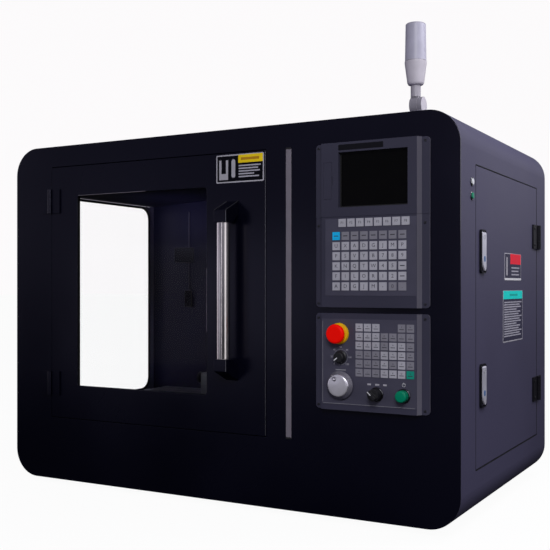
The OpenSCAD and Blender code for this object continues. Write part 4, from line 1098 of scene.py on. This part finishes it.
brackets = softened("handle_brackets", 1.0)
highlight_lines = []
for foot in (635, 303):
    low = (BRACKET_RIGHT - 0.8, -53, foot)
    highlight_lines.append(painted_highlight_line(low, (BRACKET_RIGHT, -52.2, foot + BRACKET_LENGTH)))
for x in (651.3, 682.7):
    slope = painted_highlight_line((x - 0.5, -55, 673), (x + 0.5, 2, 674))
    highlight_lines.append(turned(slope, "X", BRACKET_SLOPE, (x, SLOPE_Y, SLOPE_Z)))
highlight_lines = joined("bracket_painted_highlights", highlight_lines)
# Two pale strips paint highlights: one along the window's upper edge, one down the door's right edge.
window_edge = block("window_edge_painted_highlight", (210, -0.3, 720), (420, 0.1, 721), light_diffuser)
tube = softened("handle_tube", 0.6)
door_edge = block("door_edge_painted_highlight", (753.2, -0.35, 160), (753.9, 0, 793), zinc_and_painted_highlight, edge=0.1)
rides("front_door", brackets, highlight_lines, tube, door_edge, window_edge)

# %% Hinges with their screws
HINGE_SCREW_Z = 208
above_first = [(0, 0, 41), (0, 0, 390), (0, 0, 431)]
hinges = softened("hinge_fixed_leaves", 0.6)
leaves = softened("front_hinge_moving_leaves", 0.6)
for part in (hinges, leaves):
    tinted(part, lambda place, normal: int(place.x < RIGHT / 2), front_enamel)
fittings = softened("side_door_fittings", 0.5)
screw = socket_screw("side_screws", (RIGHT + 5, 653, HINGE_SCREW_Z), "X", 3, 1.8, black_oxide)
side_fixed = copied(screw, above_first)
screw = socket_screw("side_door_screws", (RIGHT + 5, 600, HINGE_SCREW_Z), "X", 3, 1.8, black_oxide)
side_moving = joined("side_door_screws", copied(screw, above_first))
fixed_screws = joined("fixed_hinge_screws", side_fixed)
rides("casing", hinges, fixed_screws)
rides("front_door", leaves)
rides("side_door", fittings, side_moving)

# %% [markdown]
# ## Latches
# Each latch is a steel paddle in a black frame: a lozenge with a small round mark near its top and a blue
# spot near its foot. The marks could be tinted faces, but the paddle has no faces where they lie. So a ring
# and a small plate are set into a softened copy of it.

# %% Latch paddles
LATCHES = (("upper_latch", "upper_latch_lever", 520), ("lower_latch", "lower_latch_lever", 235))
PADDLE_FACE = RIGHT + 6.5
latch_steel = moulded("latch_steel", (0.72, 0.71, 0.79), 0.3, depth=0.004 * MM, Metallic=0.35)
spot_blue = moulded("spot_blue", (0.01, 0.12, 0.34), 0.4)
for body, node, foot in LATCHES:
    paddle = softened(node, 0.5)
    paddle.data.materials.clear()
    paddle.data.materials.append(latch_steel)
    ring = hoop(body + "_ring", (PADDLE_FACE, 146, foot + 76), "X", 4.2, 0.5, zinc_and_painted_highlight)
    low, high = (PADDLE_FACE - 0.2, 142, foot + 24), (PADDLE_FACE + 0.3, 151, foot + 36)
    spot = plate(body + "_spot", low, high, "X", 3.5, spot_blue)
    rides(body, paddle, ring, spot)

# %% [markdown]
# ## Signal lamp
# The lens is a frosted cylinder with a thicker rim at its top and foot. The folding joint has a rough,
# darker rim between two pale round faces. These could be pieces of their own, but they are one casting, so
# the faces of softened copies are tinted by their height and by the way that they look.

# %% Lens rims and the lamp's joint
LAMP_X, LAMP_Y = 1025, 218
RIM_TOP, JOINT_FOOT, JOINT_TOP = 930, 920, 948


def joint_tone(place, normal):
    """1 on the joint's rough rim, 2 on its round faces, and 0 on the stem and the foot."""
    if place.z < RIM_TOP and abs(normal.x) < 0.9:
        return 1
    return 2 if JOINT_FOOT < place.z < JOINT_TOP else 0


lens = softened("lamp_lens", 1.2)
stem = softened("lamp_stem", 0.8)
rims = [hoop("rims", (LAMP_X, LAMP_Y, 1006.6), "Z", 23.9, 0.7, stem_grey),
        hoop("rims", (LAMP_X, LAMP_Y, 1090), "Z", 22.3, 0.6, stem_grey)]
rides("lamp", lens, stem, joined("lens_rims", rims))
base = softened("lamp_base", 0.8)
for part in (base, stem):
    tinted(part, joint_tone, elbow_grey, stem_grey)
screw = socket_screw("lamp_screws", (LAMP_X - 17, LAMP_Y - 26, TOP + 5.8), "Z", 2.4, 1.6, zinc_and_painted_highlight)
foot_screws = joined("lamp_screws", copied(screw, [(30, 0, 0), (0, 52, 0), (30, 52, 0)]))
rides("casing", base, foot_screws)

# %% [markdown]
# ## Casing
# The wrap is a folded sheet, the feet are threaded studs with rubber pads, and the left window sits in a
# rubber strip. The light strip gets a cap at each end. A seal could be swept along a curve, but a plate
# with a smaller plate cut out of it has the same form and keeps its true size.

# %% Softened sheets, feet and fittings
CASING_NODES = (("front_panel", 1.0), ("rear_fittings", 0.6), ("levelling_feet", 0.8), ("light_strip", 0.3))
for node, edge in CASING_NODES:
    rides("casing", softened(node, edge))
rides("front_door", softened("front_door_panel", 1.0), softened("door_window_seal", 0.5))
rides("side_door", softened("side_door_panel", 1.2))

# %% Seals, and the light strip's caps
side_gasket = plate("side_gasket", (RIGHT - 0.6, 101.4, 106.4), (RIGHT + 0.3, 635.6, 746.6), "X", 1.5,
                    soft_rubber)
opening = block("opening", (RIGHT - 20, 103.4, 108.4), (RIGHT + 10, 633.6, 744.6), soft_rubber)
side_gasket = cut(side_gasket, opening)
caps = [block("cap", (805.8, -0.95, foot), (819.2, -0.1, foot + 4), black_plastic, edge=0.15)
        for foot in (157, 792)]
seal = plate("left_window_seal", (0.4, 146, 166), (3.8, 569, 741), "X", 38, soft_rubber)
seal = cut(seal, plate("opening", (-5, 152, 172), (9, 563, 735), "X", 33, soft_rubber))
rides("casing", side_gasket, joined("strip_caps", caps), seal)

# %% [markdown]
# ## Screws and the data plate on the rear
# The rear is closed by a sheet with a row of screws along its foot and one along its top, and a bare plate
# for the machine's data has four small ones. An array could set them out, but the plate's are not at one
# step, so one screw is made and copied by a list of shifts.

# %% Data plate and rear screws
low, high = (760, REAR, 560), (860, REAR + 0.8, 620)
data_plate = plate("data_plate", low, high, "Y", 3, turned_aluminium, edge=0.2)
screw = socket_screw("data_plate_screws", (766, REAR + 1.2, 566), "Y", 2, 1.2, zinc_and_painted_highlight)
plate_screws = joined("data_plate_screws", copied(screw, [(88, 0, 0), (0, 0, 48), (88, 0, 48)]))
screw = socket_screw("rear_panel_screws", (60, REAR + 0.9, 90), "Y", 3.4, 2, zinc_and_painted_highlight)
rear_shifts = [(x, 0, z) for x in (0, 360, 720, 1080) for z in (0, 669)]
rear_screws = joined("rear_panel_screws", copied(screw, rear_shifts[1:]))
rides("casing", data_plate, plate_screws, rear_screws)

# %% [markdown]
# ## Inside the chamber
# Behind the window are the liner's fittings and the mill itself. The castings get rounded edges on copies
# of their nodes, the head gets a bolted cover and its motor a terminal box, and the lead screws get their
# thread from a banded bump, because a cut thread would need thousands of faces for parts that stay in
# shadow.

# %% Soften the castings
CASTINGS = {
    "casing": ["machine_bed", "column"],
    "y_carriage": ["saddle"],
    "x_carriage": ["table", "vise_body"],
    "moving_jaw": ["vise_jaw"],
    "milling_head": ["head_casting", "spindle_motor"],
}
for body, names in CASTINGS.items():
    rides(body, *[softened(name, 0.8) for name in names])

# %% Head cover and terminal box
cover = plate("head_cover", (425, 283.6, 392), (511, 285, 522), "Y", 8, head_enamel, edge=0.4)
screw = socket_screw("cover_screws", (432, 283.2, 400), "Y", 3, 2, black_oxide)
cover_screws = joined("cover_screws", copied(screw, [(72, 0, 0), (0, 0, 114), (72, 0, 114)]))
terminal_box = block("terminal_box", (443, 340, 624), (493, 392, 646), motor_black, edge=1.5)
rides("milling_head", cover, cover_screws, terminal_box)

# %% Groove and notches of the spindle's nut
NUT_CENTRE = (468, 335, 347)
NOTCHES = 6
nut_groove = hoop("nut_groove", NUT_CENTRE, "Z", 24, 0.8, black_oxide)
notch = block("nut_notches", (491.2, 333, 342), (492.6, 337, 352), black_oxide)
notches = copied(notch, [(0, 0, 0)] * (NOTCHES - 1))
for step, piece in enumerate(notches):
    turned(piece, "Z", 360 / NOTCHES * step, NUT_CENTRE)
rides("spindle_body", nut_groove, joined("nut_notches", notches))

# %% Fittings on the liner
WALL_TURN = -20.8
CONDUIT_X, CONDUIT_Y = 192, 515
dark_box = block("wall_box", (150, 500, 564), (221, 512, 608), fitting_coat, edge=1.5)
turned(dark_box, "Z", WALL_TURN, (185.5, 512, 586))
small_box = block("wall_box", (182, 500, 430), (202, 514, 478), fitting_coat, edge=1.5)
turned(small_box, "Z", WALL_TURN, (192, 514, 454))
conduit = disc("wall_conduit", (CONDUIT_X, CONDUIT_Y, 662), "Z", 1.6, 108, panel_texture)
lower_conduit = disc("wall_conduit", (CONDUIT_X, CONDUIT_Y, 521), "Z", 1.6, 86, panel_texture)
# The trim along the top of the left window's seal glows: a painted highlight. The other is a steel strip
# along the ceiling's front edge.
trims = [block("trim", (3.6, 146, 742), (4.8, 569, 743.2), painted_glow_edge),
         block("trim", (20, 34, 742.4), (560, 35.2, 744.8), latch_steel)]
wall_boxes = joined("wall_box", [dark_box, small_box])
conduits = joined("wall_conduit", [conduit, lower_conduit])
rides("casing", wall_boxes, conduits, joined("ceiling_trim_and_painted_glow", trims))

# %% [markdown]
# ## Electrical cabinet and rear
# The side door opens on four drives on a plate. Each drive gets a front plate, a small display and a green
# terminal strip, built once and copied along the plate, and two slotted ducts run below them. The slots
# could be cut out, but a dark field for each looks the same at this size. Outside, wire guards of rings and
# bars cover the fan and the upper vent.

# %% Fronts of the drives
DRIVE_STEP = 74.33
parts = [plate("part", (898, 545.8, 634), (941, 547, 748), "Y", 2, grey_print_and_painted_highlight, edge=0.3),
         block("part", (905, 545.2, 716), (932, 546, 732), screen_black, edge=0.2),
         block("part", (902, 539, 588), (937, 547, 610), button_green, edge=0.6)]
slot = block("part", (900, 545.6, 640), (939, 546, 642), dark_print_and_painted_shade)
parts.append(row_of(slot, (0, 0, 6), 11))
drive_front = joined("drive_fronts", parts)
drive_fronts = joined("drive_fronts", copied(drive_front, [(DRIVE_STEP * i, 0, 0) for i in (1, 2, 3)]))

# %% Ducts and relays
RELAY_STEP, RELAYS = 36, 6
duct = block("duct", (896, 663, 520), (1166, 697, 556), print_pale, edge=0.8)
duct_slots = row_of(block("duct", (902, 662, 524), (906, 663.2, 552), dark_print_and_painted_shade), (11, 0, 0), 24)
ducts = copied(joined("duct", [duct, duct_slots]), [(0, 0, -150)])
relay = block("relay", (902, 640, 412), (932, 697, 492), drive_plastic, edge=1)
relays = joined("relays", copied(relay, [(RELAY_STEP * i, 0, 0) for i in range(1, RELAYS)]))
rides("casing", drive_fronts, joined("cable_ducts", ducts), relays)

# %% Wire guards on the rear
FAN_X, FAN_Z, GUARD_Y = 1040, 140, REAR + 2
GUARD_RINGS = (12, 24, 36, 48, 57)
BAR_REACH, BAR_HALF = 59, 0.8
near, far = GUARD_Y - 0.7, GUARD_Y + 0.7
wires = [hoop("wire", (FAN_X, GUARD_Y, FAN_Z), "Y", radius, 0.9, bright_chrome) for radius in GUARD_RINGS]
for across, up in ((BAR_REACH, BAR_HALF), (BAR_HALF, BAR_REACH)):
    low, high = (FAN_X - across, near, FAN_Z - up), (FAN_X + across, far, FAN_Z + up)
    wires.append(block("wire", low, high, bright_chrome))
guards = joined("wire_guards", copied(joined("wire_guards", wires), [(0, 0, 589)]))
rides("casing", guards)

# %% Finish with nothing selected
bpy.ops.object.select_all(action="DESELECT")
